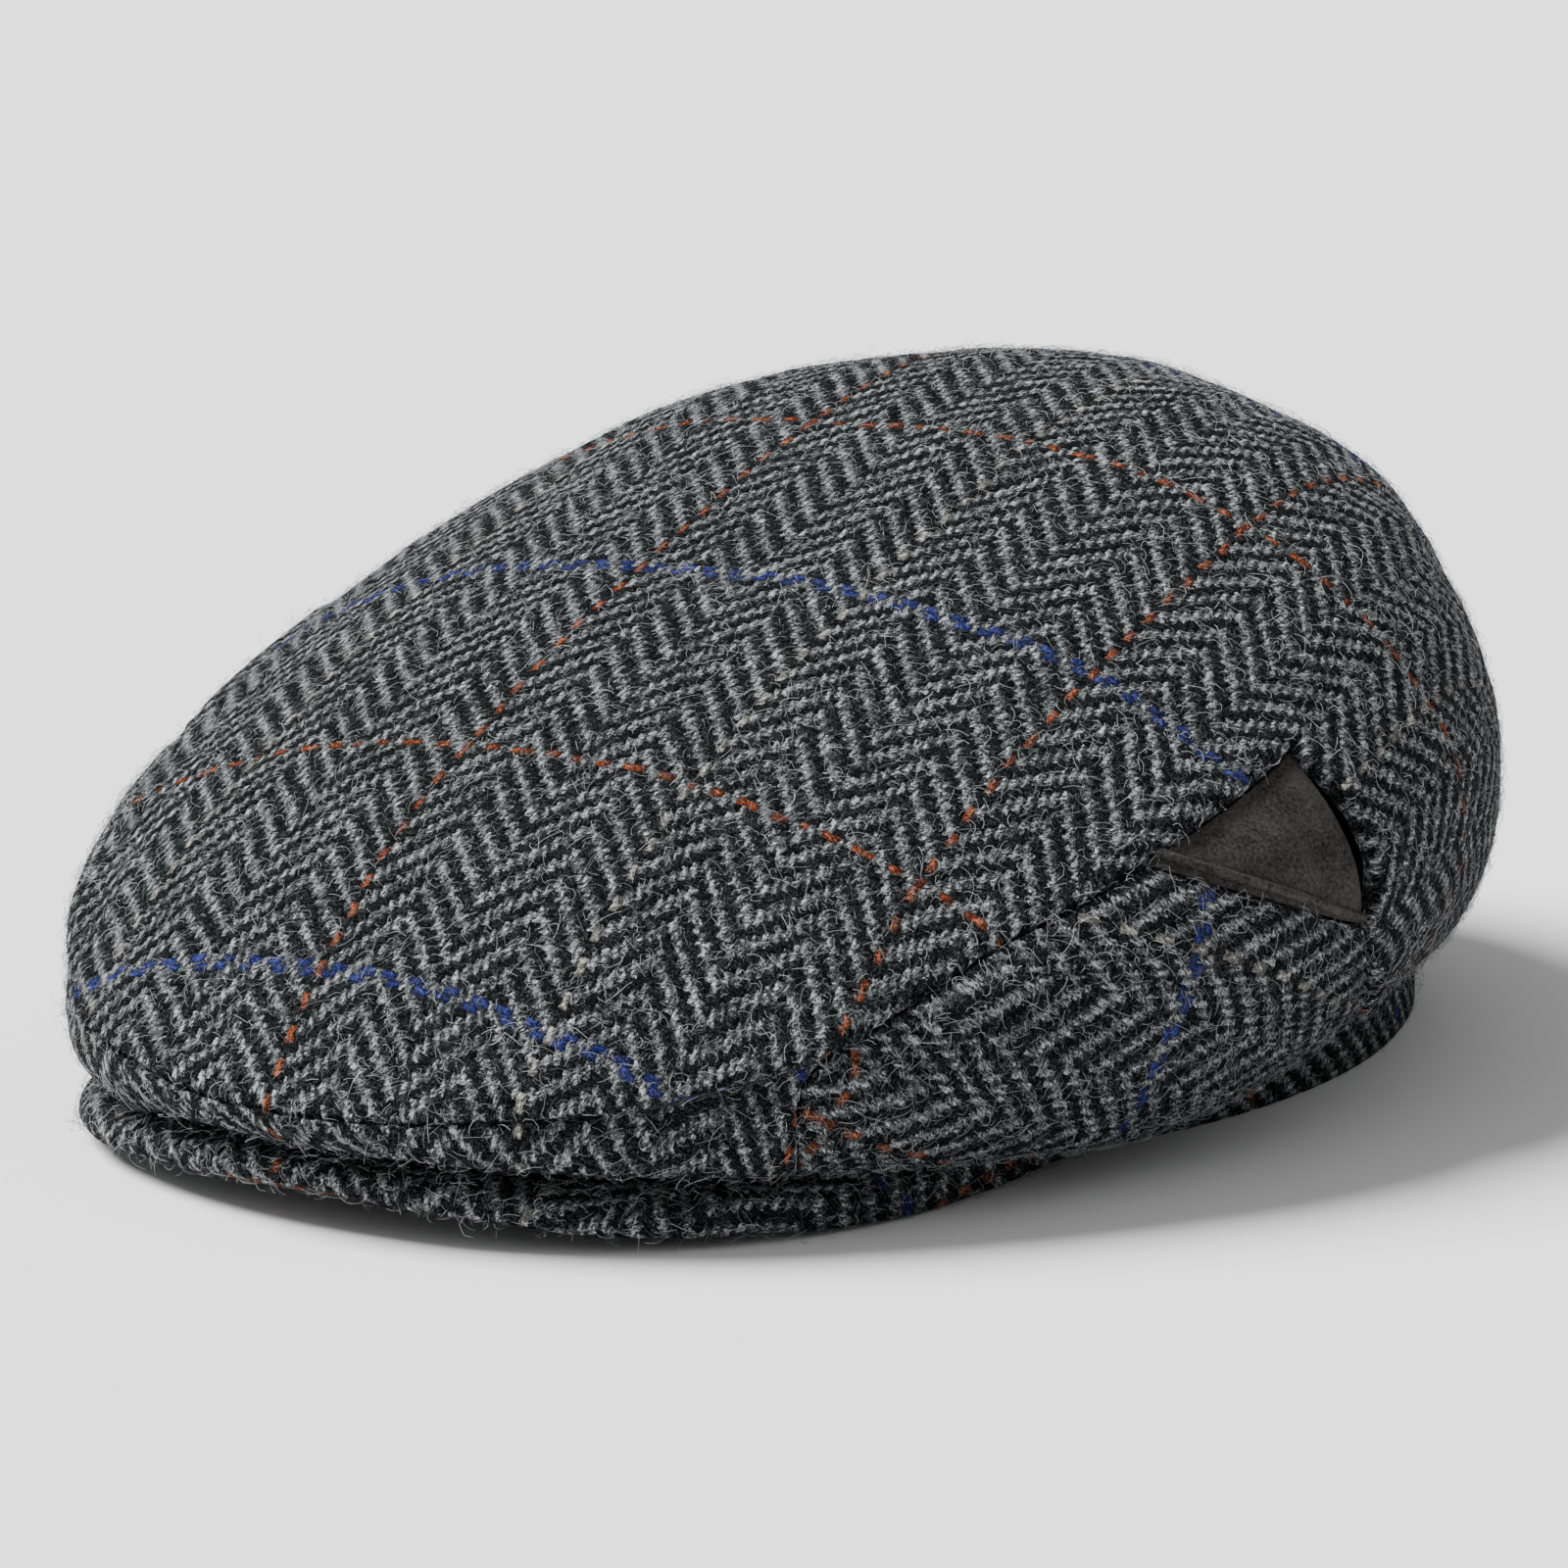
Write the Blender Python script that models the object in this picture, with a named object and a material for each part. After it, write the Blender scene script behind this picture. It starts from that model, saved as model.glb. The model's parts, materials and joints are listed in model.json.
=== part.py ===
"""Flat cap: a soft wool crown over a stiff peak, with a leather gusset behind each ear.

The peak points to -Y and the wearer's left is +X. The head band stands on the table at z = 0, and
the origin is the middle of the footprint. Lengths are metres and angles are degrees.

Every panel of the crown lies on one surface, given by an angle round the hub, 0 at the front and
positive to the wearer's left, and by a level: 0 at the hub, 1 at the widest line, 2 at the rim.
"""
from collections import namedtuple

import bpy
import numpy as np

# Crown: how far it bulges over the peak's lip and the band, how high it stands, and its cloth
FRONT_OVERHANG = 0.0036
BACK_OVERHANG = 0.0070
SIDE_OVERHANG = 0.0218
CROWN_HEIGHT = 0.1032
CLOTH_WALL = 0.0020
GUSSET_WALL = 0.0014
GUSSET_RECESS = 0.0003
FOLD_DEPTH = 0.0020

# Head band: outer size of the oval, how far its middle lies behind the hub, its height and wall,
# and how much lower the crown's rim hangs on it at the ears than at the back
BAND_LENGTH = 0.2140
BAND_WIDTH = 0.1730
BAND_SHIFT = 0.0170
BAND_HEIGHT = 0.0170
BAND_WALL = 0.0025
RIM_DROP = 0.0060

# Peak: how far it stands out of the band, how far round it goes to each side, the angle from
# there to where it would meet the band, its board, how high its middle lies, how far it falls
# from there to its sides and its lip drops besides, and how far in from its lip the crown's rim is
PEAK_REACH = 0.0446
PEAK_SPREAD = 64.0
PEAK_STUB = 6.0
PEAK_BOARD = 0.0045
PEAK_LIFT = 0.0053
PEAK_FALL = 0.0021
LIP_DROP = 0.0031
RIM_INSET = 0.0100
# Exponents of its outline at the shoulders and corners and of the lip's drop, and its rounded
# nose as a share of its depth
PEAK_SHOULDER = 2.9
PEAK_CORNER = 2.4
LIP_CURL = 4
PEAK_NOSE = 0.06

# Clear space between neighbouring pieces
GAP = 0.0003

# How far the crown reaches from the hub, which stands where front and back reach equally far
# from the origin
CROWN_FRONT = BAND_LENGTH / 2 - BAND_SHIFT + PEAK_REACH + FRONT_OVERHANG
CROWN_BACK = BAND_LENGTH / 2 + BAND_SHIFT + BACK_OVERHANG
CROWN_SIDE = BAND_WIDTH / 2 + SIDE_OVERHANG
CROWN_HALF = (CROWN_FRONT + CROWN_BACK) / 2
HUB_Y = (CROWN_FRONT - CROWN_BACK) / 2

Change = namedtuple("Change", "start end")
# Where something eases from one state to the next, as shares of the peak's spread
LIP_DROPS = Change(start=0.03, end=0.35)
PEAK_FALLS = Change(start=0.20, end=0.62)
RIM_LEAVES_LIP = Change(start=0.56, end=0.72)
RIM_TURNS_IN = Change(start=0.60, end=0.90)
RIM_CLIMBS_BAND = Change(start=1.00, end=1.16)
RIM_RISES_BACK = Change(start=1.08, end=1.56)

Section = namedtuple("Section", "angle plan widest fullness droop")
# plan is a share of the plain oval of the three reaches, widest and droop shares of the crown
# height, and fullness the exponent of the dome between hub and widest line
SECTIONS = (
    Section(angle=0, plan=1.000, widest=0.168, fullness=3.95, droop=0.000),
    Section(angle=30, plan=0.978, widest=0.215, fullness=3.60, droop=0.012),
    Section(angle=60, plan=0.984, widest=0.299, fullness=3.15, droop=0.058),
    Section(angle=90, plan=1.000, widest=0.375, fullness=2.70, droop=0.032),
    Section(angle=120, plan=0.990, widest=0.415, fullness=3.40, droop=0.005),
    Section(angle=150, plan=0.985, widest=0.378, fullness=4.45, droop=0.005),
    Section(angle=180, plan=1.000, widest=0.363, fullness=4.95, droop=0.005),
)

Ceiling = namedtuple("Ceiling", "place height")
# place is a share of half the crown length, from the front to the back, and height one of the
# crown height: the dome hangs from this line and drops from it towards the sides
CEILINGS = (
    Ceiling(place=-1.0, height=0.265),
    Ceiling(place=-0.6, height=0.552),
    Ceiling(place=-0.2, height=0.750),
    Ceiling(place=0.2, height=0.937),
    Ceiling(place=0.6, height=1.042),
    Ceiling(place=1.0, height=1.180),
)
CEILING_SIDE_DROP = 0.085

Fold = namedtuple("Fold", "angle spread level rise push")
# A bell of the given half widths in angle and level; push is a share of the fold depth, in if
# negative, and every fold has its like on the other side
FOLDS = (
    Fold(angle=0, spread=38, level=0.93, rise=0.10, push=-0.45),
    Fold(angle=18, spread=24, level=0.93, rise=0.10, push=-0.40),
    Fold(angle=33, spread=14, level=1.00, rise=0.35, push=-0.60),
    Fold(angle=24, spread=16, level=1.30, rise=0.45, push=0.35),
    Fold(angle=165, spread=28, level=0.52, rise=0.24, push=-1.00),
    Fold(angle=147, spread=12, level=0.66, rise=0.16, push=0.60),
)

Mark = namedtuple("Mark", "angle level")
# Seam from the rim beside the peak up to the gusset's front tip, the gusset's corners, the foot of
# the seam behind it, and the rim below the gusset's tip and rear corner
FRONT_SEAM = (
    Mark(33.0, 2.000),
    Mark(33.4, 1.500),
    Mark(34.0, 1.000),
    Mark(39.0, 0.867),
    Mark(48.5, 0.775),
    Mark(56.0, 0.750),
    Mark(63.5, 0.720),
)
GUSSET_TIP = Mark(63.5, 0.720)
GUSSET_TOP = Mark(82.5, 0.700)
GUSSET_REAR = Mark(84.5, 1.075)
REAR_SEAM_FOOT = Mark(97.0, 2.000)
RIM_BELOW_TIP = Mark(59.0, 2.000)
RIM_BELOW_REAR = Mark(85.0, 2.000)

# Facets along the seams and edges and across the panels
SEAM_STEPS = 3
GUSSET_STEPS = 5
GUSSET_REAR_STEPS = 4
GUSSET_ROWS = 4
REAR_SEAM_STEPS = 5
FRONT_RIM_STEPS = 12
BACK_RIM_STEPS = 36
HUB_ROWS = 8
SKIRT_ROWS = 9
SIDE_PANEL_ROWS = 8
BAND_STEPS = 72
PEAK_STEPS = 36
PEAK_ROWS = 7
SHARP_EDGE = 40.0

Paint = namedtuple("Paint", "colour roughness")
WOOL = Paint(colour=(0.075, 0.085, 0.088), roughness=0.95)
LEATHER = Paint(colour=(0.065, 0.050, 0.042), roughness=0.70)


def clear_scene():
    for item in list(bpy.data.objects):
        bpy.data.objects.remove(item, do_unlink=True)


def around(angle, column):
    """A column of SECTIONS at any angle, as an even cosine series through its rows."""
    order = np.arange(len(SECTIONS))
    rows = np.radians([section.angle for section in SECTIONS])
    values = [getattr(section, column) for section in SECTIONS]
    series = np.linalg.solve(np.cos(np.outer(rows, order)), values)
    return np.cos(np.radians(angle)[..., None] * order) @ series


def ease(value, start, end):
    """0 before start and 1 after end, with a smooth step between."""
    share = np.clip((value - start) / (end - start), 0.0, 1.0)
    return share * share * (3.0 - 2.0 * share)


def changed(angle, change):
    """How far a change round the peak has come at an angle."""
    return ease(np.abs(angle) / PEAK_SPREAD, change.start, change.end)


def bell(offset):
    """1 in the middle, falling smoothly to 0 at an offset of 1 to either side."""
    return 0.5 + 0.5 * np.cos(np.pi * np.clip(np.abs(offset), 0.0, 1.0))


def polar(angle, reach, height):
    """Points at an angle round the hub, a reach from it and a height over the table."""
    turn = np.radians(angle)
    return np.stack([reach * np.sin(turn), HUB_Y - reach * np.cos(turn), height], axis=-1)


def turned(angle):
    """The angle between -180 and 180."""
    return (angle + 180.0) % 360.0 - 180.0


def crown_reach(angle):
    sine = np.sin(np.radians(angle))
    cosine = np.cos(np.radians(angle))
    lengthwise = np.where(cosine > 0, CROWN_FRONT, CROWN_BACK)
    return around(angle, "plan") / np.hypot(sine / CROWN_SIDE, cosine / lengthwise)


def band_reach(angle, inset=0.0):
    """From the hub to the band's oval, whose middle lies behind the hub, drawn in by an inset."""
    sine = np.sin(np.radians(angle))
    cosine = np.cos(np.radians(angle))
    half_length = BAND_LENGTH / 2 - inset
    half_width = BAND_WIDTH / 2 - inset
    square = (sine / half_width) ** 2 + (cosine / half_length) ** 2
    slope = cosine * BAND_SHIFT / half_length**2
    rest = 1.0 - (BAND_SHIFT / half_length) ** 2
    return (np.sqrt(slope**2 + square * rest) - slope) / square


def peak_depth(angle):
    """How far the peak stands out at an angle: a full crescent with rounded corners."""
    side = np.clip(np.abs(angle) / (PEAK_SPREAD + PEAK_STUB), 0.0, 1.0)
    return PEAK_REACH * (1.0 - side**PEAK_SHOULDER) ** PEAK_CORNER


def peak_underside(angle, across):
    """Height of the peak's lower face, across from 0 at the band to 1 at the lip."""
    fall = PEAK_FALL * changed(angle, PEAK_FALLS)
    return PEAK_LIFT - fall - LIP_DROP * changed(angle, LIP_DROPS) * across**LIP_CURL


def rim_reach(angle):
    """The crown's turned rim lies on the peak in front and against the band elsewhere."""
    inset = RIM_INSET * (1.0 - changed(angle, RIM_TURNS_IN))
    return band_reach(angle) + peak_depth(angle) - inset + GAP / 2


def rim_height(angle):
    across = 1.0 - RIM_INSET / np.maximum(peak_depth(angle), RIM_INSET)
    on_board = peak_underside(angle, across) + PEAK_BOARD + GAP
    over_corner = peak_underside(angle, 0.0) + PEAK_BOARD + GAP
    on_band = BAND_HEIGHT - CLOTH_WALL - RIM_DROP * (1.0 - changed(angle, RIM_RISES_BACK))
    height = on_board + (over_corner - on_board) * changed(angle, RIM_LEAVES_LIP)
    return height + (on_band - height) * changed(angle, RIM_CLIMBS_BAND)


def crown_surface(angle, level):
    """The crown's outer face before its folds."""
    angle = turned(angle)
    reach = crown_reach(angle)
    widest = around(angle, "widest") * CROWN_HEIGHT
    dome = np.clip(level, 0.0, 1.0) * np.pi / 2
    roll = np.clip(level - 1.0, 0.0, 1.0) * np.pi / 2
    out = np.sin(dome)
    flat = polar(angle, reach * out, widest)
    line = np.polyfit(*zip(*CEILINGS), len(CEILINGS) - 1)
    side_drop = CEILING_SIDE_DROP * (flat[..., 0] / CROWN_SIDE) ** 2
    ceiling = (np.polyval(line, (flat[..., 1] - HUB_Y) / CROWN_HALF) - side_drop) * CROWN_HEIGHT
    rise = np.sqrt(np.clip(1.0 - out ** around(angle, "fullness"), 0.0, 1.0))
    rim = rim_reach(angle)
    lowest = rim_height(angle)
    reach_low = rim + (reach - rim) * np.cos(roll)
    droop = around(angle, "droop") * CROWN_HEIGHT * np.sin(2 * roll)
    height_low = widest - (widest - lowest) * np.sin(roll) - droop
    upper = polar(angle, reach * out, widest + (ceiling - widest) * rise)
    lower = polar(angle, reach_low, height_low)
    return np.where((level > 1.0)[..., None], lower, upper)


def crown_normal(angle, level):
    step = 0.5
    rise = 0.004
    off_hub = 0.02
    inner = np.clip(level, off_hub, 2.0 - rise)
    along = crown_surface(angle + step, inner) - crown_surface(angle - step, inner)
    down = crown_surface(angle, inner + rise) - crown_surface(angle, inner - rise)
    normal = np.cross(down, along)
    return normal / np.linalg.norm(normal, axis=-1, keepdims=True)


def fold_push(angle, level):
    push = np.zeros_like(angle)
    for fold in FOLDS:
        for side in {fold.angle, -fold.angle}:
            across = turned(angle - side) / fold.spread
            push += fold.push * bell(across) * bell((level - fold.level) / fold.rise)
    return push * FOLD_DEPTH


def between(first, last, count):
    """Angles and levels on a straight line between two marks."""
    return np.linspace(first, last, count + 1)


def through(marks, count):
    """Angles and levels on a smooth curve through marks, count steps from each to the next."""
    marks = np.array(marks)
    ends = np.vstack([2 * marks[0] - marks[1], marks, 2 * marks[-1] - marks[-2]])
    rows = [marks[:1]]
    share = np.linspace(0, 1, count + 1)[1:, None]
    for before, start, end, after in zip(ends, ends[1:], ends[2:], ends[3:]):
        bend = 2 * before - 5 * start + 4 * end - after
        twist = 3 * start - before - 3 * end + after
        rows.append(start + share * (end - before + share * (bend + share * twist)) / 2)
    return np.vstack(rows)


def mirrored(curve, turns=0.0):
    """The same curve on the wearer's right, run the other way, some degrees further round."""
    return curve[::-1] * (-1.0, 1.0) + (turns, 0.0)


def loft(upper, lower, rows):
    """A grid of angles and levels between two curves with as many points."""
    share = np.linspace(0, 1, rows + 1)[:, None, None]
    return upper + share * (lower - upper)


def front_seam():
    return through(FRONT_SEAM, SEAM_STEPS)


def gusset_upper_edge():
    return between(GUSSET_TIP, GUSSET_TOP, GUSSET_STEPS)


def gusset_rear_edge():
    return between(GUSSET_TOP, GUSSET_REAR, GUSSET_REAR_STEPS)


def gusset_lower_edge():
    return between(GUSSET_TIP, GUSSET_REAR, GUSSET_STEPS)


def rear_seam():
    return between(GUSSET_REAR, REAR_SEAM_FOOT, REAR_SEAM_STEPS)


def joined(*curves):
    """Curves end to end, each shared point once."""
    return np.vstack([curves[0]] + [curve[1:] for curve in curves[1:]])


def stretched(first, last, curve):
    """Points from one mark to another, spaced as evenly as the columns of a curve."""
    return np.linspace(first, last, len(curve))


class Sheet:
    """Quads over the crown surface, welded where grids share an angle and a level."""

    def __init__(self):
        self.places = []
        self.faces = []
        self.index = {}

    def vertex(self, angle, level):
        key = (round(angle % 360.0, 4), round(level, 5)) if level > 0 else (0, 0)
        if key not in self.index:
            self.index[key] = len(self.places)
            self.places.append((turned(angle), level))
        return self.index[key]

    def add(self, grid):
        rows = [[self.vertex(angle, level) for angle, level in row] for row in grid]
        for upper, lower in zip(rows, rows[1:]):
            for column in range(len(upper) - 1):
                corners = (upper[column], lower[column], lower[column + 1], upper[column + 1])
                face = list(dict.fromkeys(corners))
                if len(face) > 2:
                    self.faces.append(face)

    def border(self):
        """Each border vertex with the one before it and the one after it."""
        edges = {edge for face in self.faces for edge in zip(face, face[1:] + face[:1])}
        after = {start: end for start, end in edges if (end, start) not in edges}
        before = {end: start for start, end in after.items()}
        return [(before[vertex], vertex, after[vertex]) for vertex in after]

    def solid(self, wall, recess=0.0):
        """The sheet as a closed wall, drawn back from its border by half the gap."""
        angle, level = np.array(self.places).T
        normal = crown_normal(angle, level)
        outer = crown_surface(angle, level) + normal * fold_push(angle, level)[:, None]
        drawn = outer.copy()
        border = self.border()
        for before, vertex, after in border:
            come = np.cross(normal[vertex], outer[vertex] - outer[before])
            leave = np.cross(normal[vertex], outer[after] - outer[vertex])
            come /= np.linalg.norm(come)
            leave /= np.linalg.norm(leave)
            drawn[vertex] += (come + leave) / (1.0 + come @ leave) * GAP / 2
        drawn -= normal * recess
        count = len(drawn)
        faces = list(self.faces)
        faces += [[corner + count for corner in reversed(face)] for face in self.faces]
        faces += [[end, start, start + count, end + count] for _, start, end in border]
        return np.vstack([drawn, drawn - normal * wall]), faces


def crown_top_sheet():
    """From the front rim over the hub to the back rim, notched for side panels and gussets."""
    left_front = front_seam()
    right_front = mirrored(left_front)
    front_rim = between(right_front[-1], left_front[0], FRONT_RIM_STEPS)
    front_edge = joined(right_front, front_rim, left_front)
    front_ring = stretched(front_edge[0], front_edge[-1], front_edge)
    left_back = joined(gusset_rear_edge(), rear_seam())
    right_back = mirrored(left_back, 360.0)
    back_rim = between(left_back[-1], right_back[0], BACK_RIM_STEPS)
    back_edge = joined(left_back, back_rim, right_back)
    back_ring = stretched(back_edge[0], back_edge[-1], back_edge)
    over_gusset = gusset_upper_edge()
    ring = joined(front_ring, over_gusset, back_ring, mirrored(over_gusset, 360.0))
    hub = ring * (1.0, 0.0)
    sheet = Sheet()
    sheet.add(loft(hub, ring, HUB_ROWS))
    sheet.add(loft(front_ring, front_edge, SKIRT_ROWS))
    sheet.add(loft(back_ring, back_edge, SKIRT_ROWS))
    return sheet


def side_panel_sheet():
    """The wedge between the front seam, the gusset's lower edge, the rear seam and the rim."""
    edges = (front_seam(), gusset_lower_edge(), rear_seam())
    feet = (FRONT_SEAM[0], RIM_BELOW_TIP, RIM_BELOW_REAR, REAR_SEAM_FOOT)
    rims = [stretched(start, end, edge) for start, end, edge in zip(feet, feet[1:], edges)]
    sheet = Sheet()
    sheet.add(loft(joined(*edges), joined(*rims), SIDE_PANEL_ROWS))
    return sheet


def gusset_sheet():
    sheet = Sheet()
    sheet.add(loft(gusset_upper_edge(), gusset_lower_edge(), GUSSET_ROWS))
    return sheet


def facing_out(points, faces):
    """The faces, each turned over if the closed body would be inside out."""
    volume = 0.0
    for face in faces:
        for second, third in zip(face[1:], face[2:]):
            volume += np.dot(points[face[0]], np.cross(points[second], points[third]))
    return faces if volume > 0 else [face[::-1] for face in faces]


def swept_ring(profile, closed):
    """Faces between neighbouring profiles of equal size, shut at both ends unless closed."""
    count, size = profile.shape[:2]
    faces = []
    for start in range(count if closed else count - 1):
        here = start * size
        there = (start + 1) % count * size
        for corner in range(size):
            after = (corner + 1) % size
            faces.append([here + corner, here + after, there + after, there + corner])
    if not closed:
        faces.append(list(range(size))[::-1])
        faces.append(list(range((count - 1) * size, count * size)))
    return profile.reshape(-1, 3), faces


def band_solid():
    """The head band: a standing oval strip, flat on the table all round."""
    angle = np.linspace(-180.0, 180.0, BAND_STEPS, endpoint=False)
    outer = band_reach(angle)
    inner = band_reach(angle, BAND_WALL)
    low = np.zeros_like(angle)
    high = np.full_like(angle, BAND_HEIGHT)
    corners = [polar(angle, outer, low), polar(angle, outer, high), polar(angle, inner, high),
               polar(angle, inner, low)]
    return swept_ring(np.stack(corners, axis=1), closed=True)


def peak_solid():
    """The peak: a crescent board with a rounded lip, dropping towards its corners."""
    angle = np.linspace(-PEAK_SPREAD, PEAK_SPREAD, PEAK_STEPS + 1)
    root = band_reach(angle) + GAP
    rows = np.linspace(0.0, 1.0 - PEAK_NOSE, PEAK_ROWS + 1)
    nose_turn = np.radians([-50.0, 0.0, 50.0])
    nose = 1.0 - PEAK_NOSE + PEAK_NOSE * np.cos(nose_turn)
    half_board = PEAK_BOARD / 2
    across_steps = np.concatenate([rows, nose, rows[::-1]])
    offsets = np.concatenate([0 * rows - half_board, half_board * np.sin(nose_turn),
                              0 * rows + half_board])
    corners = []
    for across, offset in zip(across_steps, offsets):
        height = peak_underside(angle, across) + half_board + offset
        corners.append(polar(angle, root + peak_depth(angle) * across, height))
    return swept_ring(np.stack(corners, axis=1), closed=False)


def flipped(points, faces):
    """The same solid for the wearer's right."""
    return points * (-1.0, 1.0, 1.0), [face[::-1] for face in faces]


def make_material(name, paint):
    material = bpy.data.materials.new(name)
    material.use_nodes = True
    shader = material.node_tree.nodes["Principled BSDF"]
    shader.inputs["Base Color"].default_value = (*paint.colour, 1.0)
    shader.inputs["Roughness"].default_value = paint.roughness
    shader.inputs["Metallic"].default_value = 0.0
    return material


def make_piece(name, solid, paint):
    points, faces = solid
    mesh = bpy.data.meshes.new(name)
    mesh.from_pydata(points.tolist(), [], facing_out(points, faces))
    mesh.shade_smooth()
    mesh.set_sharp_from_angle(angle=np.radians(SHARP_EDGE))
    mesh.materials.append(make_material(name + "_finish", paint))
    piece = bpy.data.objects.new(name, mesh)
    piece.modifiers.new("facets", "TRIANGULATE").quad_method = "SHORTEST_DIAGONAL"
    bpy.context.scene.collection.objects.link(piece)
    return piece


def make_cap():
    side_panel = side_panel_sheet().solid(CLOTH_WALL)
    gusset = gusset_sheet().solid(GUSSET_WALL, GUSSET_RECESS)
    make_piece("crown_top", crown_top_sheet().solid(CLOTH_WALL), WOOL)
    make_piece("side_panel_left", side_panel, WOOL)
    make_piece("side_panel_right", flipped(*side_panel), WOOL)
    make_piece("gusset_left", gusset, LEATHER)
    make_piece("gusset_right", flipped(*gusset), LEATHER)
    make_piece("band", band_solid(), WOOL)
    make_piece("peak", peak_solid(), WOOL)


clear_scene()
make_cap()
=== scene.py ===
"""Looks of a flat cap in hairy herringbone wool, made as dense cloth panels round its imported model.

The peak points to -Y and the wearer's left is +X. Lengths are metres and angles are degrees, apart
from names that say otherwise. Every panel of the crown lies on one surface, given by an angle round
the hub, 0 at the front and positive to the wearer's left, and by a level: 0 at the hub, 1 at the
widest line, 2 at the rim.
"""
import json
from collections import namedtuple

import bpy
import numpy as np
from bpy.props import FloatProperty, FloatVectorProperty, IntProperty, PointerProperty
from mathutils import Matrix, Vector, noise
from mathutils.kdtree import KDTree

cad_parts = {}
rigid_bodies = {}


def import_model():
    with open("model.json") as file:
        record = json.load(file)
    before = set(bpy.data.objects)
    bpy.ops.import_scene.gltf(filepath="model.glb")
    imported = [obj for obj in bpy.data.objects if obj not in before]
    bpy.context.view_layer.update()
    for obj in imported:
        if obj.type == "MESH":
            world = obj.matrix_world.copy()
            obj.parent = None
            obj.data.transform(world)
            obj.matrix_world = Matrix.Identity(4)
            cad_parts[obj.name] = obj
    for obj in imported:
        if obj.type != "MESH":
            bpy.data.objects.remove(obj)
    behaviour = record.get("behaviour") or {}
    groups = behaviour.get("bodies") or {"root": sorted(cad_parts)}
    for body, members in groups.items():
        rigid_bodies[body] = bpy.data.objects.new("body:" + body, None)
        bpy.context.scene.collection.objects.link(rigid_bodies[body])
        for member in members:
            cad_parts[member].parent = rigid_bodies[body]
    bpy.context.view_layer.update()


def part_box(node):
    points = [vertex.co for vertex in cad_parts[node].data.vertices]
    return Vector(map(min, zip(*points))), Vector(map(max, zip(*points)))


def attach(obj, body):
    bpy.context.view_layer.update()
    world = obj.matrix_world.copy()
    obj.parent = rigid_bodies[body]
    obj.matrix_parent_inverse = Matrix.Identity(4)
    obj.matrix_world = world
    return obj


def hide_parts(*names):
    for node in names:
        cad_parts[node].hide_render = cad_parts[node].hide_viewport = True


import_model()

bl_info = {
    "name": "Flat Cap",
    "version": (1, 0, 0),
    "blender": (4, 5, 0),
    "location": "View3D > Sidebar > Flat Cap",
    "description": "Dresses a packed flat cap in herringbone wool and suede",
    "category": "Add Mesh",
}

MM = 0.001

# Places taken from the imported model
BAND_LOW, BAND_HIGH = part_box("band")
PEAK_LOW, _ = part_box("peak")
GAP = 0.0003
HUB_Y = 0.0036
BAND_WIDTH = BAND_HIGH.x - BAND_LOW.x
BAND_LENGTH = BAND_HIGH.y - BAND_LOW.y
BAND_SHIFT = (BAND_HIGH.y + BAND_LOW.y) / 2 - HUB_Y
BAND_HEIGHT = BAND_HIGH.z
BAND_WALL = 0.0025
RIM_DROP = 0.0060
PEAK_REACH = BAND_LOW.y - PEAK_LOW.y - GAP

# Crown, as the model has it
CROWN_HEIGHT = 0.1032
CROWN_PAST_PEAK = 0.0036
CROWN_PAST_BACK = 0.0070
CROWN_PAST_SIDE = 0.0218
CROWN_FRONT = BAND_LENGTH / 2 - BAND_SHIFT + PEAK_REACH + CROWN_PAST_PEAK
CROWN_BACK = BAND_LENGTH / 2 + BAND_SHIFT + CROWN_PAST_BACK
CROWN_SIDE = BAND_WIDTH / 2 + CROWN_PAST_SIDE
CROWN_HALF = (CROWN_FRONT + CROWN_BACK) / 2
CLOTH_WALL = 0.0020
GUSSET_WALL = 0.0014
FOLD_DEPTH = 0.0020
CEILING_SIDE_DROP = 0.085

# Peak, as the model has it
PEAK_SPREAD = 64.0
PEAK_STUB = 6.0
PEAK_BOARD = 0.0045
PEAK_LIFT = 0.0053
PEAK_FALL = 0.0021
LIP_DROP = 0.0031
LIP_CURL = 4
RIM_INSET = 0.0100
PEAK_SHOULDER = 2.9
PEAK_CORNER = 2.4

Change = namedtuple("Change", "start end")
# Where something eases from one state to the next, as shares of the peak's spread
LIP_DROPS = Change(0.03, 0.35)
PEAK_FALLS = Change(0.20, 0.62)
RIM_LEAVES_LIP = Change(0.56, 0.72)
RIM_TURNS_IN = Change(0.60, 0.90)
RIM_CLIMBS_BAND = Change(1.00, 1.16)
RIM_RISES_BACK = Change(1.08, 1.56)
# The same in degrees to either side of the front
ALONG_GUSSET = Change(60.0, 66.0)
CREASE_DEEPENS = Change(2.0, 12.0)
CREASE_ENDS = Change(37.0, 42.0)
TUCK_ENDS = Change(46.0, 62.0)
HIDING_STARTS = Change(6.0, 26.0)
HIDING_ENDS = Change(45.0, 60.0)
# The same in metres from an edge
SWELL_STARTS = Change(0.0, 0.0100)
PUFF_STARTS = Change(0.0, 0.0080)
SINK_ENDS = Change(0.0, 0.0050)
# The same in levels: the tuck of the rim, and the crease, about its line, in shape and in cloth
TUCK_STARTS = Change(1.48, 1.72)
CREASE_STEP = Change(-0.004, 0.004)
HIDING_STEP = Change(0.002, 0.010)

Section = namedtuple("Section", "angle plan widest fullness droop")
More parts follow.
